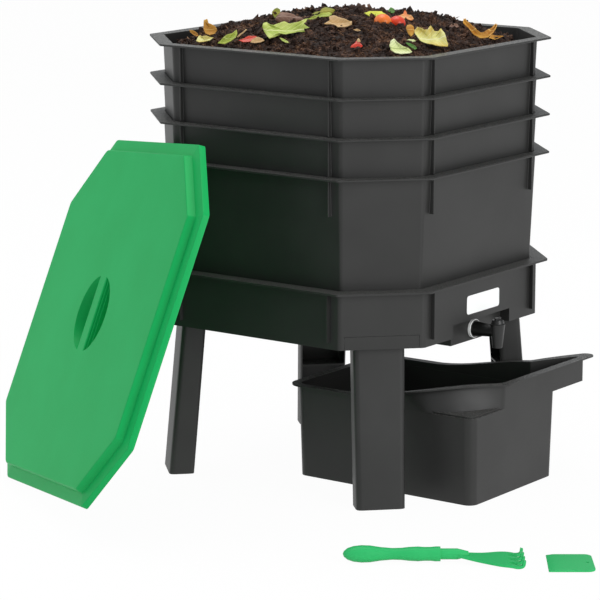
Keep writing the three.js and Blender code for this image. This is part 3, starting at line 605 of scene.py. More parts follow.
@dataclass(frozen=True)
class LidEdge:
    """The lid's stepped edge: a deep skirt, a nearly level ledge and a steep riser up to the face.

    Each step is a point of the CAD model's profile, as its inset and height, and then the inset and height
    that the photograph shows for it. Sizes are in millimetres, angles in degrees.
    """

    half: float = 220.5
    cut: float = 81.3
    heading: float = -123.05
    lean: float = 22.17
    roll: float = 7.11
    origin: tuple[float, float, float] = (-299.063, 145.151, 218.205)
    steps: tuple[tuple[float, float, float, float], ...] = (
        (0.0, 4.8, 0.7, 7.2),
        (1.2, 6.0, 1.6, 8.1),
        (11.5, 12.0, 15.2, 9.5),
        (16.8, 17.8, 17.3, 17.6),
        (19.2, 19.0, 19.2, 19.0),
        (2.5, 3.5, 2.5, 5.9),
        (14.0, 9.5, 17.4, 7.0),
        (20.5, 16.5, 19.4, 16.5),
    )
    near_inset: float = 1.0
    near_height: float = 0.3

    def pose(self) -> Matrix:
        """Works out the lid's own frame.

        Returns:
            The directions across, along and out of its face, and its middle.
        """
        heading, lean, roll = (math.radians(angle) for angle in (self.heading, self.lean, self.roll))
        level = Vector((math.cos(heading), math.sin(heading), 0))
        up = Vector((0, 0, 1))
        slope = up * math.cos(lean) - level.cross(up) * math.sin(lean)
        face = level.cross(slope)
        across = level * math.cos(roll) + slope * math.sin(roll)
        along = face.cross(across)
        turn = Matrix((across, along, face)).transposed().to_4x4()
        return Matrix.Translation(Vector(self.origin)) @ turn

    def moved(self, point: Vector) -> Vector:
        """Moves a point of the CAD model's profile onto the photograph's.

        Args:
            point: a point in the lid's own frame, in millimetres.

        Returns:
            Its new place, or the same one for a point that isn't on the edge.
        """
        x, y, z = point
        diagonal = (2 * self.half - self.cut) / ROOT_2
        inset = min(self.half - abs(x), self.half - abs(y), diagonal - (abs(x) + abs(y)) / ROOT_2)
        for old_inset, old_height, new_inset, new_height in self.steps:
            if abs(inset - old_inset) < self.near_inset and abs(z - old_height) < self.near_height:
                lesser = ROOT_2 - 1
                step_x, step_y = (1.0, lesser) if abs(x) > abs(y) else (lesser, 1.0)
                shift = new_inset - old_inset
                x -= math.copysign(step_x * shift, x)
                y -= math.copysign(step_y * shift, y)
                return Vector((x, y, new_height))
        return point

    def build(self) -> bpy.types.Object:
        """Makes the lid: the CAD model's own, with the photograph's edge.

        Returns:
            The lid, still without its finish.
        """
        piece = traced("lid")
        pose = self.pose()
        back = pose.inverted()
        for vert in piece.data.vertices:
            vert.co = pose @ self.moved(back @ (vert.co / MM)) * MM
        return piece


@dataclass(frozen=True)
class CollectorBin:
    """The bin as one smooth moulding: a drafted tub, a collar that widens round the corner, and the rim.

    Sizes are in millimetres, about the middle of the rim. The cut is how far the corner is cut back along its
    two sides, and a tip is the radius at the spout's point.
    """

    at: tuple[float, float] = (4.5, -114.5)
    rim: tuple[float, float] = (96.5, 129.5)
    foot: tuple[float, float] = (92.5, 128.0)
    wall: float = 2.2
    floor: float = 2.5
    ledge: float = 109.5
    back_height: float = 117.0
    front_height: float = 139.0
    swoop: tuple[float, float] = (184.0, 19.0)
    spout: tuple[float, float] = (72.0, 38.0)
    flange: float = 9.0
    flange_thickness: float = 1.8
    corner: float = 12.0
    cut: tuple[float, float] = (38.0, 69.0)
    ledge_corner: float = 60.0
    rim_corner: float = 90.0
    cut_corner: float = 16.0
    tip: float = 2.6
    flange_tip: float = 9.6
    arc: int = 14
    between: int = 14
    collar_rings: int = 5
    least_radius: float = 2.0
    least_turn: float = 0.01

    def rim_height(self, y: float) -> float:
        """Gives the rim's height: level at the back, a smooth rise, level at the front.

        Args:
            y: how far forwards or back of the rim's middle.

        Returns:
            The height over the ground.
        """
        start, end = self.swoop
        share = min(max((start - self.rim[1] - y) / (start - end), 0.0), 1.0)
        return self.back_height + (self.front_height - self.back_height) * share * share * (3 - 2 * share)

    def filleted(self, corners: Sequence[tuple[float, float, float]]) -> list[Place]:
        """Rounds an outline's corners, with the same number of points at each of them.

        Args:
            corners: each corner's place and radius, in order.

        Returns:
            The outline's points.
        """
        arcs = []
        count = len(corners)
        for i, (x, y, radius) in enumerate(corners):
            here = Vector((x, y))
            arriving = (here - Vector(corners[i - 1][:2])).normalized()
            leaving = (Vector(corners[(i + 1) % count][:2]) - here).normalized()
            turn = arriving.angle_signed(leaving)
            bent = abs(turn) > self.least_turn
            reach = radius * math.tan(abs(turn) / 2) if bent else self.least_radius
            start, end = here - arriving * reach, here + leaving * reach
            centre = start + Vector((-arriving.y, arriving.x)) * math.copysign(radius, -turn)
            shares = [k / self.arc for k in range(self.arc + 1)]
            if bent:
                spoke = start - centre
                arcs.append([centre + Matrix.Rotation(-turn * share, 2) @ spoke for share in shares])
            else:
                arcs.append([start.lerp(end, share) for share in shares])
        points = []
        for arc, after in zip(arcs, arcs[1:] + arcs[:1]):
            points += arc
            points += [arc[-1].lerp(after[0], k / self.between) for k in range(1, self.between)]
        return [(point.x, point.y) for point in points]

    def offset(self, corners: Sequence[Place], grow: float) -> list[Place]:
        """Moves every side of an outline outwards by the same distance.

        Args:
            corners: the outline's corners, in order.
            grow: the distance.

        Returns:
            The corners' new places.
        """
        moved = []
        for i, place in enumerate(corners):
            here = Vector(place)
            arriving = (here - Vector(corners[i - 1])).normalized()
            leaving = (Vector(corners[(i + 1) % len(corners)]) - here).normalized()
            inward = Vector((-arriving.y, arriving.x)) + Vector((-leaving.y, leaving.x))
            moved.append(tuple(here - inward * grow / (1 + arriving.dot(leaving))))
        return moved

    def collar(self, grow: float, share: float, tip: float) -> list[Place]:
        """Gives the collar's outline at a share of its height.

        Args:
            grow: how far outside the rim's own outline it runs.
            share: 0 at the ledge and 1 at the rim.
            tip: the radius at the spout's point.

        Returns:
            The outline's points.
        """
        w, l = self.rim
        near, far = self.cut
        cut = near + (far - near) * share
        out, back = self.spout
        places = [(w, l), (-w, l), (-w, -l + cut), (-w + far, -l), (w + out, -l), (w, -l + back)]
        wide = self.ledge_corner + (self.rim_corner - self.ledge_corner) * share
        rear = self.corner + grow
        radii = (rear, rear, wide + grow, self.cut_corner, tip, self.tip)
        moved = self.offset(places, grow)
        return self.filleted([(x, y, max(radius, self.least_radius)) for (x, y), radius in zip(moved, radii)])

    def tub(self, grow: float, height: float) -> list[Place]:
        """Gives the tub's outline at a height.

        Args:
            grow: how far outside the tub's outer face it runs.
            height: the height over the ground.

        Returns:
            The outline's points.
        """
        share = height / self.back_height
        w, l = ((low + (high - low) * share + grow) for low, high in zip(self.foot, self.rim))
        radius = self.corner + grow
        corners = [(w, l), (-w, l), (-w, -l), (-w + self.cut[1], -l), (w, -l), (w, -l + self.spout[1])]
        return self.filleted([(x, y, radius) for x, y in corners])

    def levels(self) -> list[list[tuple[float, float, float]]]:
        """Gives the skin's rings.

        Returns:
            The points of each ring, from the foot up the outside, over the rim and down the inside.
        """
        under = self.ledge - self.wall
        rows = [[(x, y, height) for x, y in self.tub(0.0, height)] for height in (0.0, under / 2, under)]
        steps = self.collar_rings
        for thickness, grow, tip, shares in (
            (self.flange_thickness, 0.0, self.tip, range(steps + 1)),
            (self.flange_thickness, self.flange, self.flange_tip, (steps,)),
            (0.0, self.flange, self.flange_tip, (steps,)),
            (0.0, -self.wall, self.tip, range(steps, -1, -1)),
        ):
            for k in shares:
                share = k / steps
                base = under if grow == 0.0 else self.ledge
                rows.append(
                    [
                        (x, y, base + (self.rim_height(y) - thickness - base) * share)
                        for x, y in self.collar(grow, share, tip)
                    ]
                )
        for height in (self.ledge, self.floor):
            rows.append([(x, y, height) for x, y in self.tub(-self.wall, height)])
        return rows

    def build(self) -> bpy.types.Object:
        """Makes the bin as one closed skin.

        Returns:
            The bin, still without its finish.
        """
        bm = bmesh.new()
        rows = [
            [bm.verts.new(((x + self.at[0]) * MM, (y + self.at[1]) * MM, z * MM)) for x, y, z in row]
            for row in self.levels()
        ]
        skinned(bm, rows)
        bm.faces.new(rows[0])
        bm.faces.new(rows[-1])
        bmesh.ops.recalc_face_normals(bm, faces=bm.faces)
        return settled("collector_bin_moulding", bm)


@dataclass(frozen=True)
class Leg:
    """A leg whose ribs end level with the back edges of its channel. Sizes in millimetres."""

    node: str
    back_at_foot: float = 199.3
    back_at_top: float = 182.2
    height: float = 203.5

    def build(self) -> bpy.types.Object:
        """Makes the leg: the CAD model's own, with the ribs' back edges moved in to the channel's.

        Returns:
            The leg, still without its finish.
        """
        piece = traced(self.node)
        for vert in piece.data.vertices:
            x, y, z = vert.co / MM
            out = (abs(x) + abs(y)) / ROOT_2
            back = self.back_at_foot + (self.back_at_top - self.back_at_foot) * z / self.height
            if out < back:
                step = (back - out) / ROOT_2 * MM
                vert.co.x += math.copysign(step, x)
                vert.co.y += math.copysign(step, y)
        return piece


@dataclass(frozen=True)
class TapWasher:
    """The tap's white washer, with a thicker front edge than the CAD model's. Sizes in millimetres."""

    deeper: float = 1.7

    def build(self) -> bpy.types.Object:
        """Makes the washer: the CAD model's own, with its front face moved forwards.

        Returns:
            The washer, still without its finish.
        """
        piece = traced("tap_washer")
        places = [vert.co.y for vert in piece.data.vertices]
        middle = (min(places) + max(places)) / 2
        for vert in piece.data.vertices:
            if vert.co.y < middle:
                vert.co.y -= self.deeper * MM
        return piece


@dataclass
class Mouldings:
    """The rigid plastic pieces: the CAD model's forms with rounded edges, and a few of them reshaped."""

    black: bpy.types.Material
    green: bpy.types.Material
    bright: bpy.types.Material
    jet: bpy.types.Material
    white: bpy.types.Material
    rubber: bpy.types.Material
    edge_mm: float = 0.7
    fine_edge_mm: float = 0.3

    def build(self) -> None:
        """Makes and reports every moulding."""
        bodies = frame["record"]["behaviour"]["bodies"]
        slots = {part["node"]: part["material_slot"] for part in frame["record"]["subparts"]}
        finishes = {
            "black_plastic": self.black,
            "green_plastic": self.green,
            "white_plastic": self.white,
            "seal_rubber": self.rubber,
        }
        own = {
            "lid": LidEdge().build,
            "collector_bin": CollectorBin().build,
            "tap_washer": TapWasher().build,
            **{node: Leg(node).build for node in bodies["stand"] if node.startswith("leg_")},
        }
        for body, nodes in bodies.items():
            for node in nodes:
                if slots[node] not in finishes:
                    continue
                fine = node.startswith(("tap_", "rake_", "scraper", "label"))
                width = self.fine_edge_mm if fine else self.edge_mm
                piece = own[node]() if node in own else traced(node)
                finish = finishes[slots[node]]
                if node.startswith(("rake_", "scraper")):
                    finish = self.bright
                elif node.startswith("tap_") and finish is self.black:
                    finish = self.jet
                report(MouldRadius(width).put_on(piece, finish), body, [node])


@dataclass(frozen=True)
class Crumbs:
    """One layer of bits strewn over the heap.

    The radius is in millimetres, the density per square metre, and the knobs' pitch is given as so many to
    the metre. Slightest and stoutest are the shares of the radius that a bit reaches along its three axes.
    """

    name: str
    material: bpy.types.Material
    radius_mm: float
    density: float
    seed: int
    slightest: tuple[float, float, float] = (0.25, 0.2, 0.18)
    stoutest: tuple[float, float, float] = (1.0, 0.62, 0.5)
    turn: tuple[float, float, float] = (6.283, 6.283, 6.283)
    knobs_per_m: float = 170.0
    knob_share: float = 0.9
    least_upward: float = 0.35


@dataclass
class CompostHeap:
    """The bedding in the top tray: a heap that fills the tray, with crumbs strewn over it.

    Sizes are in millimetres. The smooth form is the CAD model's: its edge, crown, power and lumps. The relief
    on it is clods of some 20 mm, broken into crumbs of some 5 mm.
    """

    material: bpy.types.Material
    half: float = 191.5
    cut: float = 69.1
    floor: float = 397.6
    floor_half: float = 186.4
    edge: float = 530.9
    corner_drop: float = 9.0
    crown: float = 37.0
    power: float = 2.6
    lump: float = 4.0
    lump_pitch: float = 64.0
    clod_pitch: float = 22.0
    clod_rise: float = 3.2
    crumb_pitch: float = 9.0
    crumb_rise: float = 3.6
    calm_at_wall: float = 0.35
    calm_rings: float = 9.0
    rings: int = 96
    steps: int = 30
    share_name: str = "wall_share"

    def outline(self) -> list[Vector]:
        """Gives the tray's inner outline.

        Returns:
            Evenly spaced points along each of its eight sides, anticlockwise.
        """
        flat = self.half - self.cut
        signs = ((1, -1), (1, 1), (-1, 1), (-1, -1))
        corners = []
        for i, (sx, sy) in enumerate(signs):
            pair = [Vector((sx * flat, sy * self.half)), Vector((sx * self.half, sy * flat))]
            corners += pair if i % 2 == 0 else pair[::-1]
        corners = corners[1:] + corners[:1]
        points = []
        for here, after in zip(corners, corners[1:] + corners[:1]):
            points += [here.lerp(after, k / self.steps) for k in range(self.steps)]
        return points

    @property
    def corner(self) -> float:
        """The distance from the middle to the wall across a corner."""
        return (2 * self.half - self.cut) / ROOT_2

    def share(self, x: float, y: float) -> float:
        """Gives 0 at the heap's middle and 1 at the tray's wall."""
        return max(abs(x) / self.half, abs(y) / self.half, (abs(x) + abs(y)) / ROOT_2 / self.corner)

    def height(self, x: float, y: float) -> float:
        """Gives the heap's smooth height: the same form as the CAD model's bed.

        Args:
            x: the point's place across.
            y: the point's place along.

        Returns:
            The height over the ground.
        """
        share = min(self.share(x, y), 1.0)
        slant = (x - y) / ROOT_2 / self.corner
        wave = math.sin(x / self.lump_pitch * math.pi) * math.cos(y / self.lump_pitch * math.pi)
        edge = self.edge - self.corner_drop * slant * slant
        return edge + self.crown * (1 - share**self.power) + self.lump * wave * (1 - share)

    def relief(self, x: float, y: float) -> float:
        """Gives the clods and crumbs on the smooth form.

        Args:
            x: the point's place across.
            y: the point's place along.

        Returns:
            How far the surface rises, or sinks if below 0.
        """
        clods = noise.fractal(Vector((x / self.clod_pitch, y / self.clod_pitch, 3.1)), 0.9, 2.1, 3)
        crumbs = noise.turbulence(Vector((x / self.crumb_pitch, y / self.crumb_pitch, 7.7)), 3, False)
        return self.clod_rise * clods + self.crumb_rise * (crumbs - 0.5)

    def surface(self) -> bpy.types.Object:
        """Builds the heap as one closed skin.

        Returns:
            The heap, in the scene.
        """
        outline = self.outline()
        bm = bmesh.new()
        narrow = self.floor_half / self.half
        levels: Rows = [
            [bm.verts.new((p.x * narrow * MM, p.y * narrow * MM, self.floor * MM)) for p in outline]
        ]
        for ring in range(self.rings):
            share = 1 - ring / self.rings
            calm = min(1.0, (1 - share) * self.calm_rings)
            row = []
            for p in outline:
                x, y = p.x * share, p.y * share
                rough = self.calm_at_wall + (1 - self.calm_at_wall) * calm
                z = self.height(x, y) + self.relief(x, y) * rough
                row.append(bm.verts.new((x * MM, y * MM, z * MM)))
            levels.append(row)
        skinned(bm, levels)
        bm.faces.new(reversed(levels[0]))
        middle = bm.verts.new((0, 0, (self.height(0, 0) + self.relief(0, 0)) * MM))
        top = levels[-1]
        for i in range(len(top)):
            bm.faces.new((top[i], top[(i + 1) % len(top)], middle))
        for face in bm.faces:
            face.smooth = True
        piece = settled("compost_heap", bm, self.material)
        mesh = piece.data
        shares = [self.share(vert.co.x / MM, vert.co.y / MM) for vert in mesh.vertices]
        mesh.attributes.new(self.share_name, "FLOAT", "POINT").data.foreach_set("value", shares)
        return piece

    def strewn(self, heap: bpy.types.Object, crumbs: Crumbs) -> bpy.types.Object:
        """Strews crumbs over the heap with geometry nodes.

        Args:
            heap: the surface they lie on.
            crumbs: their size, number and form.

        Returns:
            The crumbs as one plain mesh.
        """
        tree = bpy.data.node_groups.new(f"{crumbs.name}_scatter", "GeometryNodeTree")
        tree.interface.new_socket(name="Geometry", in_out="INPUT", socket_type="NodeSocketGeometry")
        tree.interface.new_socket(name="Geometry", in_out="OUTPUT", socket_type="NodeSocketGeometry")
        values = {}
        for label, kind, value in (
            ("Crumb radius", "NodeSocketFloat", crumbs.radius_mm * MM),
            ("Density", "NodeSocketFloat", crumbs.density),
            ("Seed", "NodeSocketInt", crumbs.seed),
            ("Roughness depth", "NodeSocketFloat", crumbs.radius_mm * MM * crumbs.knob_share),
            ("Widest share", "NodeSocketFloat", 1 - crumbs.radius_mm * crumbs.stoutest[0] / self.half),
        ):
            socket = tree.interface.new_socket(name=label, in_out="INPUT", socket_type=kind)
            values[socket.identifier] = value
        given = add_node(tree, "NodeGroupInput").outputs
        normal = add_node(tree, "GeometryNodeInputNormal").outputs["Normal"]
        upward = add_node(tree, "ShaderNodeSeparateXYZ", {"Vector": normal}).outputs["Z"]
        open_side = add_node(
            tree, "FunctionNodeCompare", {"A": upward, "B": crumbs.least_upward}, operation="GREATER_THAN"
        )
        stored = add_node(
            tree, "GeometryNodeInputNamedAttribute", {"Name": self.share_name}, data_type="FLOAT"
        )
        share = next(output for output in stored.outputs if output.enabled)
        off_wall = add_node(
            tree, "FunctionNodeCompare", {"A": share, "B": given["Widest share"]}, operation="LESS_THAN"
        )
        chosen = add_node(
            tree,
            "FunctionNodeBooleanMath",
            {0: open_side.outputs["Result"], 1: off_wall.outputs["Result"]},
            operation="AND",
        )
        points = add_node(
            tree,
            "GeometryNodeDistributePointsOnFaces",
            {
                "Mesh": given["Geometry"],
                "Selection": chosen.outputs["Boolean"],
                "Density": given["Density"],
                "Seed": given["Seed"],
            },
        )
        ball = add_node(
            tree, "GeometryNodeMeshIcoSphere", {"Radius": given["Crumb radius"], "Subdivisions": 1}
        )
        turn = add_node(
            tree,
            "FunctionNodeRandomValue",
            {"Min": (0.0, 0.0, 0.0), "Max": crumbs.turn, "Seed": given["Seed"]},
            data_type="FLOAT_VECTOR",
        )
        squat = add_node(
            tree,
            "FunctionNodeRandomValue",
            {"Min": crumbs.slightest, "Max": crumbs.stoutest, "Seed": given["Seed"]},
            data_type="FLOAT_VECTOR",
        )
        placed = add_node(
            tree,
            "GeometryNodeInstanceOnPoints",
            {
                "Points": points.outputs["Points"],
                "Instance": ball.outputs["Mesh"],
                "Rotation": turn.outputs["Value"],
                "Scale": squat.outputs["Value"],
            },
        )
        real = add_node(tree, "GeometryNodeRealizeInstances", {"Geometry": placed.outputs["Instances"]})
        knobs = add_node(tree, "ShaderNodeTexNoise", {"Scale": crumbs.knobs_per_m, "Detail": 1.0})
        centred = add_node(
            tree,
            "ShaderNodeVectorMath",
            {0: knobs.outputs["Color"], 1: (0.5, 0.5, 0.5)},
            operation="SUBTRACT",
        )
        depth = add_node(
            tree,
            "ShaderNodeVectorMath",
            {0: centred.outputs["Vector"], "Scale": given["Roughness depth"]},
            operation="SCALE",
        )
        rough = add_node(
            tree,
            "GeometryNodeSetPosition",
            {"Geometry": real.outputs["Geometry"], "Offset": depth.outputs["Vector"]},
        )
        dressed = add_node(
            tree,
            "GeometryNodeSetMaterial",
            {"Geometry": rough.outputs["Geometry"], "Material": crumbs.material},
        )
        add_node(tree, "NodeGroupOutput", {"Geometry": dressed.outputs["Geometry"]})
        piece = linked(crumbs.name, heap.data)
        scatter = piece.modifiers.new("crumbs", "NODES")
        scatter.node_group = tree
        for identifier, value in values.items():
            scatter[identifier] = value
        return flattened(piece)

    def build(self) -> None:
        """Makes and reports the heap, its crumbs and the fibres that lie among them."""
        heap = self.surface()
        fibre = FIBRE.build()
        layers = (
            Crumbs("compost_crumbs", self.material, 4.0, 60000.0, 11),
            Crumbs("compost_clods", self.material, 8.5, 6500.0, 23),
            Crumbs(
                "compost_fibres", fibre, 3.2, 9000.0, 37, (1.2, 0.1, 0.1), (3.4, 0.26, 0.2), (0.5, 0.5, 6.283)
            ),
        )
        strewn = [self.strewn(heap, layer) for layer in layers]
        report(heap, "top_tray", ["compost_bed"])
        for piece in strewn:
            report(piece, "top_tray")


class Form(Enum):
    """How a scrap's points are read: as an outline round its middle, or as a path with half-widths."""

    SHEET = "sheet"
    RIBBON = "ribbon"


@dataclass(frozen=True)
class Scrap:
    """One leaf, peel or twig on the heap. Sizes in millimetres, angles in degrees.

    The points are across and up as the scrap faces the viewer, and a ribbon's have a half-width too. The cup
    is how far its edge stands off its own plane, and the ruffle how much that wavers.
    """

    name: str
    finish: Leaf
    at: tuple[float, float]
    lift: float
    tilt: float
    points: tuple[tuple[float, ...], ...]
    cup: float = 3.0
    ruffle: float = 2.0
    thickness: float = 0.8
    form: Form = Form.SHEET

    def bend(self, u: float, v: float, share: float) -> float:
        """Gives how far a point stands off the scrap's own plane."""
        wave = noise.noise(Vector((u * 0.11, v * 0.11, self.at[0] * 0.37)))
        return self.cup * share * share + self.ruffle * wave * (0.3 + share)

    def sheet(self, rings: int = 6, between: int = 3) -> Surface:
        """Fills the outline with rings round its middle.

        Args:
            rings: rings from the middle to the edge.
            between: points along each side of the outline.

        Returns:
            The points and the faces.
        """
        edge = []
        for (u0, v0), (u1, v1) in zip(self.points, self.points[1:] + self.points[:1]):
            shares = [k / between for k in range(between)]
            edge += [(u0 + (u1 - u0) * share, v0 + (v1 - v0) * share) for share in shares]
        count = len(edge)
        places = [(0.0, 0.0, self.bend(0, 0, 0))]
        faces = []
        for ring in range(1, rings + 1):
            share = ring / rings
            places += [(u * share, v * share, self.bend(u * share, v * share, share)) for u, v in edge]
            for k in range(count):
                near, far = 1 + (ring - 2) * count, 1 + (ring - 1) * count
                after = (k + 1) % count
                if ring == 1:
                    faces.append([0, far + after, far + k])
                else:
                    faces.append([near + k, near + after, far + after, far + k])
        return places, faces

    def ribbon(self, across: int = 4, between: int = 5) -> Surface:
        """Sweeps a curled strip along the path.

        Args:
            across: faces over the width.
            between: steps between two points of the path.

        Returns:
            The points and the faces.
        """
        rows = []
        for (u0, v0, w0), (u1, v1, w1) in zip(self.points, self.points[1:]):
            for k in range(between):
                s = k / between
                rows.append((u0 + (u1 - u0) * s, v0 + (v1 - v0) * s, w0 + (w1 - w0) * s))
        rows.append(self.points[-1])
        places = []
        for i, (u, v, w) in enumerate(rows):
            before, after = rows[max(i - 1, 0)], rows[min(i + 1, len(rows) - 1)]
            along = Vector((after[0] - before[0], after[1] - before[1])).normalized()
            for j in range(across + 1):
                side = j / across * 2 - 1
                x, y = u - along.y * w * side, v + along.x * w * side
                places.append((x, y, self.bend(x, y, abs(side))))
        faces = []
        for i in range(len(rows) - 1):
            for j in range(across):
                a = i * (across + 1) + j
                faces.append([a, a + 1, a + across + 2, a + across + 1])
        return places, faces

    def build(self, heap: CompostHeap, material: bpy.types.Material) -> bpy.types.Object:
        """Lays the scrap on the heap, tilted up towards the viewer.

        Args:
            heap: the heap that carries it.
            material: its finish.

        Returns:
            The finished scrap.
        """
        places, faces = self.sheet() if self.form is Form.SHEET else self.ribbon()
        mesh = bpy.data.meshes.new(self.name)
        mesh.from_pydata([(u * MM, v * MM, w * MM) for u, v, w in places], [], faces)
        width = max(p[0] for p in places) - min(p[0] for p in places)
        height = max(p[1] for p in places) - min(p[1] for p in places)
        layer = mesh.uv_layers.new(name="along_and_across")
        for loop in mesh.loops:
            u, v, _ = places[loop.vertex_index]
            layer.data[loop.index].uv = (0.5 + u / width, 0.5 + v / height)
        for polygon in mesh.polygons:
            polygon.use_smooth = True
        mesh.materials.append(material)
        piece = linked(self.name, mesh)
        thick = piece.modifiers.new("thickness", "SOLIDIFY")
        thick.thickness = self.thickness * MM
        thick.offset = 0.0
        flattened(piece)
        x, y = self.at
        turn = Euler((math.radians(self.tilt), 0, math.radians(-AZIMUTH)), "XYZ").to_matrix().to_4x4()
        z = heap.height(x, y) + self.lift
        piece.data.transform(Matrix.Translation((x * MM, y * MM, z * MM)) @ turn)
        return piece


# Green leaves, still limp: dull yellow-greens with paler veins.
PALE_GREEN = Leaf("pale_green_leaf", "#9fb34a", "#c3cc70", "#dfe0a0")
OLIVE = Leaf("olive_leaf", "#8d8a22", "#6f7a1e", "#b6ab4c")
FRESH = Leaf("fresh_green_leaf", "#8a9a2c", "#a9b548", "#cdd683")
DARK_GREEN = Leaf("dark_green_leaf", "#3c6a22", "#4f8430", "#7c9450")
# Yellowed leaves: clear and warm, paler towards the veins.
YELLOW = Leaf("yellow_leaf", "#c2c62a", "#d4d848", "#e6e88c")
STRAW = Leaf("straw_leaf", "#dcd98a", "#c8b050", "#efecc0")
# Dry leaves: brown, tan or amber, and matt.
BROWN = Leaf("dry_brown_leaf", "#6b4a3c", "#86634e", "#a08470")
TAN = Leaf("dry_tan_leaf", "#b8925c", "#cfae80", "#e0c8a0")
AMBER = Leaf("amber_leaf", "#b0741f", "#cf9a3e", "#dcb764")
PEACH = Leaf("peach_leaf", "#d99a5a", "#e0713a", "#edc79a")
# Peel and rind: moist, with a soft highlight.
RED = Leaf("red_peel", "#c9281c", "#d9432a", "#e7a184", roughness=0.35)
LIME = Leaf("pale_rind", "#d6e094", "#e2e8b4", "#74863c", roughness=0.4)
# Twigs: dark bark, dull.
TWIG = Leaf("dark_twig", "#3a2418", "#4c3222", "#6a4a34")

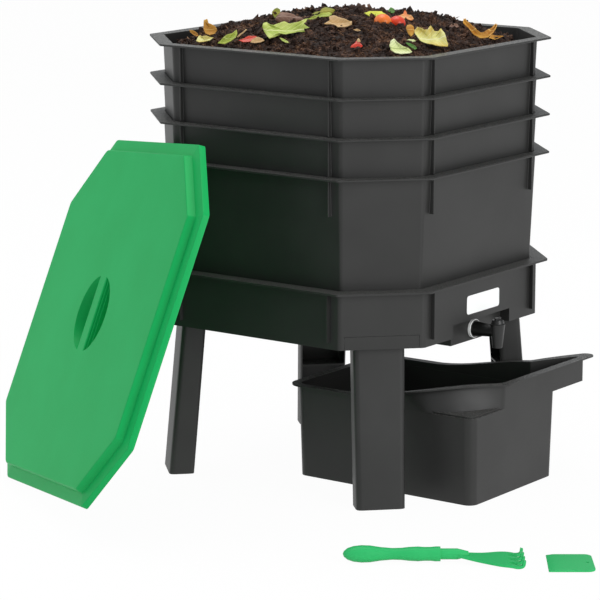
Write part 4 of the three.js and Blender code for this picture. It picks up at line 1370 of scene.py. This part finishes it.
SCRAPS = (
    Scrap("leaf_large_green", PALE_GREEN, (-133.8, -1.0), 5.5, 42, (
        (-23, 11.4), (-18.4, 7.6), (-14.6, 6.7), (-10, 9.5), (-1.5, 12.4), (5.4, 10.5), (13.8, 10.5),
        (20, 11.4), (26, 14.7), (24.5, 9.5), (21.5, 5.7), (28.4, 2.9), (21.5, 1), (23, -2.9), (14.6, -3.8),
        (6.9, -6.7), (-2.3, -8.6), (-11.5, -9.5), (-15.3, -11.4), (-19.2, -17.1), (-21.5, -12.4),
        (-24.5, -4.8), (-27.6, 2.9), (-26.5, 8.6)), 5, 3.5),
    Scrap("leaf_large_brown", BROWN, (-82.3, 30.3), 5, 40, (
        (-18.4, -2), (-13.8, 4.9), (-11.5, 10.8), (-9.2, 11.8), (-5.4, 9.8), (-1.5, 7.8), (4.6, 6.9),
        (9.2, 3.9), (14.6, 0), (19.2, -5.9), (13.8, -7.8), (7.7, -9.8), (0, -9.8), (-6.9, -7.8),
        (-13.8, -6.9)), -3, 3.5),
    Scrap("leaf_olive", OLIVE, (-55.2, 71.6), 3, 40, (
        (-4.9, 1), (-1.8, 5.9), (1.7, 8.4), (5, 4.9), (5.4, -1), (2.8, -6.9), (-1, -8.8), (-3.4, -3.9)), 2,
        1.5),
    Scrap("leaf_top_green", OLIVE, (-23.3, 24.9), 3.5, 40, (
        (-16, -6.3), (-8.6, 0), (-3.7, -1.6), (0, 5.3), (4.9, 7.2), (11, 6.8), (16, 3.1), (13.5, -1.6),
        (7.4, -4.7), (0, -7.1), (-7.4, -7.8)), -1, 2),
    Scrap("leaf_light_green", FRESH, (-61.1, 0.8), 3, 38, (
        (-16, -4.7), (-8.6, -0.8), (-2.5, 1.6), (4.9, 5.5), (11, 7), (14.7, 3.1), (11, -0.8), (6.1, -3.1),
        (-2.5, -3.1), (-11, -5.5)), 1, 2),
    Scrap("leaf_tan", TAN, (-93.6, -49.7), 5, 40, (
        (-17.5, -2.2), (-10.5, 2.9), (-11.4, 8.5), (-5.3, 9.6), (1.8, 8.5), (8.8, 4), (15.8, 0.7),
        (15.4, -4.9), (8.8, -6), (3.5, -8.3), (-0.9, -9.4), (-6.1, -4.9), (-12.3, -3.8)), 2.5, 3),
    Scrap("leaf_yellow", YELLOW, (-29.2, -59.0), 2.5, 36, (
        (-13.7, 2.2), (-7.9, 6.2), (-0.9, 7), (7, 6.2), (12.3, 1.1), (7, -1.1), (2.6, -2.2), (0, -6.7),
        (-3.5, -8.3), (-7.9, -3.4)), 1, 2),
    Scrap("leaf_dark_green", DARK_GREEN, (37.6, -36.3), 3, 40, (
        (-4.4, -0.4), (-0.9, 5.1), (2.6, 3.6), (4.4, -1.6), (2.6, -4.5), (-1.8, -4.3)), 1, 1),
    Scrap("leaf_peach", PEACH, (4.0, -80.2), 3.5, 40, (
        (-10.5, 2.2), (-6.1, 3.4), (-2.6, 5.6), (-1.8, 9.2), (-0.5, 11.4), (1.2, 9), (1.8, 4.5), (6.1, 1.1),
        (9.6, -4.5), (7, -7.8), (0.9, -4.5), (-5.3, -5.6), (-9.1, -6.7)), 2, 2.5),
    Scrap("leaf_big_straw", STRAW, (-63.2, -161.3), 8, 45, (
        (-20.2, 10.5), (-15.8, 15.7), (-12.3, 12.6), (-7.9, 9.4), (-3.5, 9.4), (0, 15.3), (4.4, 9.4),
        (10.5, 8.4), (12.3, 13.2), (15.8, 4.2), (20.2, -9.4), (19.3, -13.6), (13.1, -13.6), (4.4, -12.6),
        (-6.1, -7.3), (-13.1, -3.1), (-18.4, 4.2)), 5, 3.5),
    Scrap("leaf_big_straw_end", AMBER, (-76.5, -141.5), 12.0, 55, (
        (-5.2, 2), (-4.0, 6.4), (0, 7.2), (3.4, 5.0), (4.6, 0), (3.2, -5.4), (0.4, -9.0), (-2.8, -5.0)), -2,
        1),
    Scrap("rind_pale", LIME, (-122.8, -158.0), 5.5, 48, (
        (-12.3, 3.1), (-10.5, 9.4), (-7, 12.6), (-3.5, 7.3), (1.8, 3.1), (8.8, 0), (14, -6.3), (10.5, -8.4),
        (1.8, -9), (-6.1, -7.3), (-10.9, -3.1)), 3, 1),
    Scrap("rind_striped", DARK_GREEN, (-108.0, -164.5), 5.5, 44, (
        (-7, 5.2), (-1.8, 4.2), (3.5, 1), (6.1, -3.1), (3.5, -5.2), (-1.8, -1.1), (-5.3, 2.5)), 1, 1),
    Scrap("rind_small", LIME, (-86.7, -149.6), 2.5, 40, (
        (-6.1, -0.2), (-2.6, 1.9), (2.6, 1.7), (5.3, -0.2), (1.8, -1.5), (-3.5, -1.9)), 1, 1),
    Scrap("peel_red", RED, (-143.2, -110.3), 4, 45, (
        (-8.2, -5.2), (-5.3, -1), (-1.8, 2.1), (0.5, 6.9), (3.5, 4.2), (7.5, -1.7), (4.4, -5.2),
        (-1.8, -5.9)),
        -2, 1),
    Scrap("peel_red_tip", TAN, (-141.5, -111.9), 8.2, 45, (
        (-1.4, -2), (-1.0, 1.8), (0.2, 3.4), (1.6, 1.4), (2.6, -1.4), (0.4, -2.4)), -1, 0.5),
    Scrap("leaf_tan_bit", TAN, (-98.6, -80.6), 1.5, 40, (
        (-4.7, 0.8), (-0.4, 1.9), (4, -0.6), (0.5, -1.9), (-3, -1)), 1, 1),
    Scrap("leaf_curl_right", AMBER, (53.6, -155.4), 8.5, 52, (
        (-18.4, 15.7, 0.8), (-17.9, 10.5, 2.4), (-12.3, 4.2, 2.6), (-6.1, -4.2, 3.2), (0, -8.4, 3.4),
        (7, -7.8, 4.4), (13.1, -2.1, 3.6), (16.7, 2.1, 2.4), (20.2, 8.4, 0.8)), 3, 2.5, 0.9, Form.RIBBON),
    Scrap("leaf_low_right", AMBER, (74.7, -165.6), 4, 44, (
        (-9.6, -3.1), (-6.1, 2.7), (0, 2.1), (8.8, 1), (2.6, -2.1), (-2.6, -4.6)), 2, 2),
    Scrap("leaf_red_brown", BROWN, (36.5, -128.9), 2.5, 40, (
        (-6.1, 0), (-2, 3.6), (4.2, 3), (6.2, -1.4), (1, -3.8), (-4.2, -3.2)), 1, 1.5),
    Scrap("leaf_curl_left", AMBER, (-129.3, 116.3), 8, 60, (
        (-7.7, 8.1), (-7.4, 11.3), (-3.4, 12.5), (-4.6, 8.1), (1.5, 6.5), (6.1, 3.2), (8.7, -1.6),
        (6.1, -6.5), (0, -8.9), (-5.4, -6.5), (-7.7, -0.8)), 3, 2),
    Scrap("leaf_low_left", STRAW, (-160.8, 99.6), 3.5, 42, (
        (-10.7, -2.9), (-8.4, 3.9), (-6.1, 7.4), (-4.3, 3.9), (1.5, 4.9), (10, 2.9), (6.1, -2),
        (-1.5, -4.9), (-7.7, -4.9)), 2, 2),
    Scrap("leaf_sliver_left", AMBER, (-115.2, 152.2), 4, 45, (
        (-5.7, 5.3), (-2.6, 5.3), (3.5, 1.4), (6.1, -2.9), (3.5, -4.5), (-1.1, -1), (-4.1, 2)), 2, 1),
    Scrap("leaf_pointed_green", FRESH, (-161.4, 64.2), 5.5, 45, (
        (-12.3, -8.8), (-7.7, -2.9), (-2.3, 2.9), (5.4, 6.9), (10, 11.8), (11, 5.9), (9.2, 0), (3.8, -4.9),
        (-3.8, -9.4)), 3, 1.5),
    Scrap("twig_left", TAN, (-144.6, 56.2), 4.5, 45, (
        (-5.4, -5.9, 0.9), (0, 0, 0.8), (5.4, 5.9, 0.6)), 0.5, 1, 1.0, Form.RIBBON),
    Scrap("peel_red_strip", RED, (-155.8, 38.4), 3.5, 42, (
        (-11.2, -2), (-6.9, 0), (0.8, 4.9), (10, 3.9), (10, 0), (2.3, -4.9), (-6.1, -5.3)), 1, 1),
    Scrap("leaf_tan_left", TAN, (-160.0, 22.2), 4, 42, (
        (-7.7, -3.3), (-5.4, 2), (0, 5.3), (6.9, 3.9), (9.2, 0), (3.8, -2.9), (-2.3, -4.5)), 2, 1.5),
    Scrap("leaf_small_pale", PALE_GREEN, (-151.8, -12.4), 2.5, 40, (
        (-5.4, 4.5), (-1.5, 3.3), (3.8, -1), (5.7, -4.9), (1.5, -3.3), (-3.1, 0)), 1, 0.5),
    Scrap("twig_top", TWIG, (10.5, 18.1), 1, 30, (
        (-10, 5.5, 0.7), (-5, 2, 0.9), (0, -1, 0.9), (7, 1, 0.8)), 0.4, 0.6, 1.2, Form.RIBBON),
    Scrap("twig_top_right", TWIG, (11.8, -6.6), 0.5, 30, (
        (-4, 3.6, 0.9), (0, 0.6, 1.1), (4.6, -2.4, 0.9)), 0.4, 0.6, 1.2, Form.RIBBON),
)


@dataclass(frozen=True)
class Fruit:
    """A piece of soft fruit, skin on: a flattened, slightly dented ball. Sizes in millimetres."""

    name: str
    at: Place
    radius: float
    skin: str
    worn: str
    squash: float = 0.86
    dent: float = 0.06
    dents_per_m: float = 110.0
    lift: float = 0.6

    @staticmethod
    def order(face: bmesh.types.BMFace) -> float:
        """Numbers a face by its height, and then by the way it faces."""
        middle = face.calc_center_median()
        return middle.z * 1e6 + math.atan2(middle.x, middle.y)

    def build(self, heap: CompostHeap) -> bpy.types.Object:
        """Makes the fruit, half sunk in the heap.

        Args:
            heap: the heap that carries it.

        Returns:
            The finished fruit.
        """
        x, y = self.at
        bm = bmesh.new()
        bmesh.ops.create_uvsphere(bm, u_segments=32, v_segments=20, radius=self.radius * MM)
        for vert in bm.verts:
            vert.co *= 1 + self.dent * noise.noise(vert.co * self.dents_per_m)
            vert.co.z *= self.squash
        for face in bm.faces:
            face.smooth = True
        # The ball's faces come in another order each time, so they are put in one order, from the foot up.
        bm.faces.sort(key=self.order)
        bmesh.ops.translate(bm, verts=bm.verts, vec=(x * MM, y * MM, (heap.height(x, y) + self.lift) * MM))
        finish = MouldedPlastic(f"{self.name}_skin", self.skin, self.worn, roughness=0.34, grain_depth=0.05)
        return settled(self.name, bm, finish.build())


@dataclass(frozen=True)
class BigClod:
    """The one large clod that stands up at the right of the heap. Sizes in millimetres."""

    at: Place = (36.7, -95.3)
    radius: float = 7.5
    least: float = 0.72
    knob: float = 0.55
    knobs_per_mm: float = 0.16
    lift: float = 3.5

    def build(self, heap: CompostHeap) -> bpy.types.Object:
        """Makes the clod, half sunk in the heap.

        Args:
            heap: the heap that carries it.

        Returns:
            The finished clod.
        """
        x, y = self.at
        bm = bmesh.new()
        bmesh.ops.create_icosphere(bm, subdivisions=4, radius=self.radius * MM)
        for vert in bm.verts:
            place = vert.co / MM * self.knobs_per_mm
            vert.co *= self.least + self.knob * noise.turbulence(place + Vector((4.0, 1.0, 2.0)), 3, False)
        bmesh.ops.translate(bm, verts=bm.verts, vec=(x * MM, y * MM, (heap.height(x, y) + self.lift) * MM))
        return settled("compost_big_clod", bm, heap.material)


# Soft fruit, skin on: an even, warm colour with a waxy highlight.
FRUIT = (
    Fruit("fruit_orange", (-44.2, -79.9), 10.5, "#e4581a", "#f08a32"),
    Fruit("fruit_red", (-29.0, -90.4), 10.0, "#cf2c16", "#e04a22"),
)


@dataclass
class KitchenScraps:
    """The leaves, peels and fruit that lie on the heap."""

    heap: CompostHeap

    def build(self) -> None:
        """Makes and reports every scrap."""
        finishes = dict.fromkeys(scrap.finish for scrap in SCRAPS)
        built = {finish.name: finish.build() for finish in finishes}
        pieces = [scrap.build(self.heap, built[scrap.finish.name]) for scrap in SCRAPS]
        pieces += [loose.build(self.heap) for loose in (*FRUIT, BigClod())]
        for piece in pieces:
            report(piece, "top_tray")


@dataclass
class Studio:
    """A white floor, soft lamps and the camera at the photograph's angle.

    Places are in metres and powers in watts. A lamp is its name, its place, the width of its square face and
    its power. The floor lies a hair below the ground, so that no foot shares a face with it.
    """

    camera_at: tuple[float, float, float] = (-2.94315, -2.0659, 0.9442)
    pitch: float = 11.5688
    lens: float = 176.089
    sensor: float = 36.0
    clip_end: float = 100.0
    floor_half: float = 40.0
    floor_drop: float = 0.3
    white_share: float = 0.97
    surround: float = 0.62
    aim: tuple[float, float, float] = (0.0, 0.0, 0.3)
    lamps: tuple[tuple[str, tuple[float, float, float], float, float], ...] = (
        ("lamp_front", (-0.8, -2.9, 1.1), 1.6, 44.0),
        ("lamp_top", (0.3, 0.6, 2.8), 2.0, 40.0),
        ("lamp_rear_left", (-1.6, 2.4, 1.6), 1.4, 12.0),
    )

    def view_direction(self) -> Vector:
        """Works out the direction in which the camera looks.

        Returns:
            The direction, one long.
        """
        azimuth, pitch = math.radians(AZIMUTH), math.radians(self.pitch)
        return Vector(
            (math.sin(azimuth) * math.cos(pitch), math.cos(azimuth) * math.cos(pitch), -math.sin(pitch))
        )

    def build_camera(self) -> None:
        """Places the camera."""
        data = bpy.data.cameras.new("photo_camera")
        data.lens = self.lens
        data.sensor_width = self.sensor
        data.clip_end = self.clip_end
        camera = bpy.data.objects.new("photo_camera", data)
        camera.location = self.camera_at
        camera.rotation_euler = self.view_direction().to_track_quat("-Z", "Y").to_euler()
        bpy.context.scene.collection.objects.link(camera)
        bpy.context.scene.camera = camera

    def build_floor(self) -> None:
        """Lays a pale floor that is white to the camera and keeps a soft shadow."""
        half = self.floor_half
        mesh = bpy.data.meshes.new("studio_floor")
        corners = [(-half, -half), (half, -half), (half, half), (-half, half)]
        mesh.from_pydata([(x, y, -self.floor_drop * MM) for x, y in corners], [], [(0, 1, 2, 3)])
        floor = linked("studio_floor", mesh)
        material = bpy.data.materials.new("white_paper_sweep")
        tree = cleared(material)
        paths = add_node(tree, "ShaderNodeLightPath")
        seen = add_node(
            tree,
            "ShaderNodeMath",
            {0: paths.outputs["Is Camera Ray"], 1: paths.outputs["Is Glossy Ray"]},
            operation="MAXIMUM",
        )
        share = add_node(
            tree, "ShaderNodeMath", {0: seen.outputs["Value"], 1: self.white_share}, operation="MULTIPLY"
        )
        paper = add_node(tree, "ShaderNodeBsdfDiffuse", {"Color": linear("#f4f4f4")})
        glow = add_node(tree, "ShaderNodeEmission", {"Color": (1.0, 1.0, 1.0, 1.0), "Strength": 1.0})
        mix = add_node(
            tree,
            "ShaderNodeMixShader",
            {0: share.outputs["Value"], 1: paper.outputs["BSDF"], 2: glow.outputs["Emission"]},
        )
        add_node(tree, "ShaderNodeOutputMaterial", {"Surface": mix.outputs["Shader"]})
        mesh.materials.append(material)

    def build_world(self) -> None:
        """Makes a white surround."""
        world = bpy.data.worlds.new("white_surround")
        bpy.context.scene.world = world
        tree = cleared(world)
        seen = add_node(tree, "ShaderNodeLightPath").outputs["Is Camera Ray"]
        soft = add_node(
            tree, "ShaderNodeBackground", {"Color": linear("#f2f5f8"), "Strength": self.surround}
        )
        white = add_node(tree, "ShaderNodeBackground", {"Color": (1.0, 1.0, 1.0, 1.0), "Strength": 1.0})
        mix = add_node(
            tree,
            "ShaderNodeMixShader",
            {0: seen, 1: soft.outputs["Background"], 2: white.outputs["Background"]},
        )
        add_node(tree, "ShaderNodeOutputWorld", {"Surface": mix.outputs["Shader"]})

    def build_lamps(self) -> None:
        """Hangs the soft lamps, each one turned to the middle of the stack."""
        for name, place, size, power in self.lamps:
            data = bpy.data.lights.new(name, "AREA")
            data.size = size
            data.energy = power
            lamp = bpy.data.objects.new(name, data)
            lamp.location = place
            lamp.rotation_euler = (Vector(self.aim) - lamp.location).to_track_quat("-Z", "Y").to_euler()
            bpy.context.scene.collection.objects.link(lamp)

    def build(self) -> None:
        """Makes the whole studio."""
        bpy.context.scene.view_settings.view_transform = "Standard"
        self.build_camera()
        self.build_floor()
        self.build_world()
        self.build_lamps()


def main() -> None:
    """Builds the studio and each part of the wormery."""
    logging.basicConfig(level=logging.INFO, format="%(name)s: %(message)s")
    Studio().build()
    Mouldings(*(finish.build() for finish in (BLACK, GREEN, BRIGHT, JET, WHITE, RUBBER))).build()
    heap = CompostHeap(HUMUS.build())
    heap.build()
    KitchenScraps(heap).build()


if __name__ == "__main__":
    main()
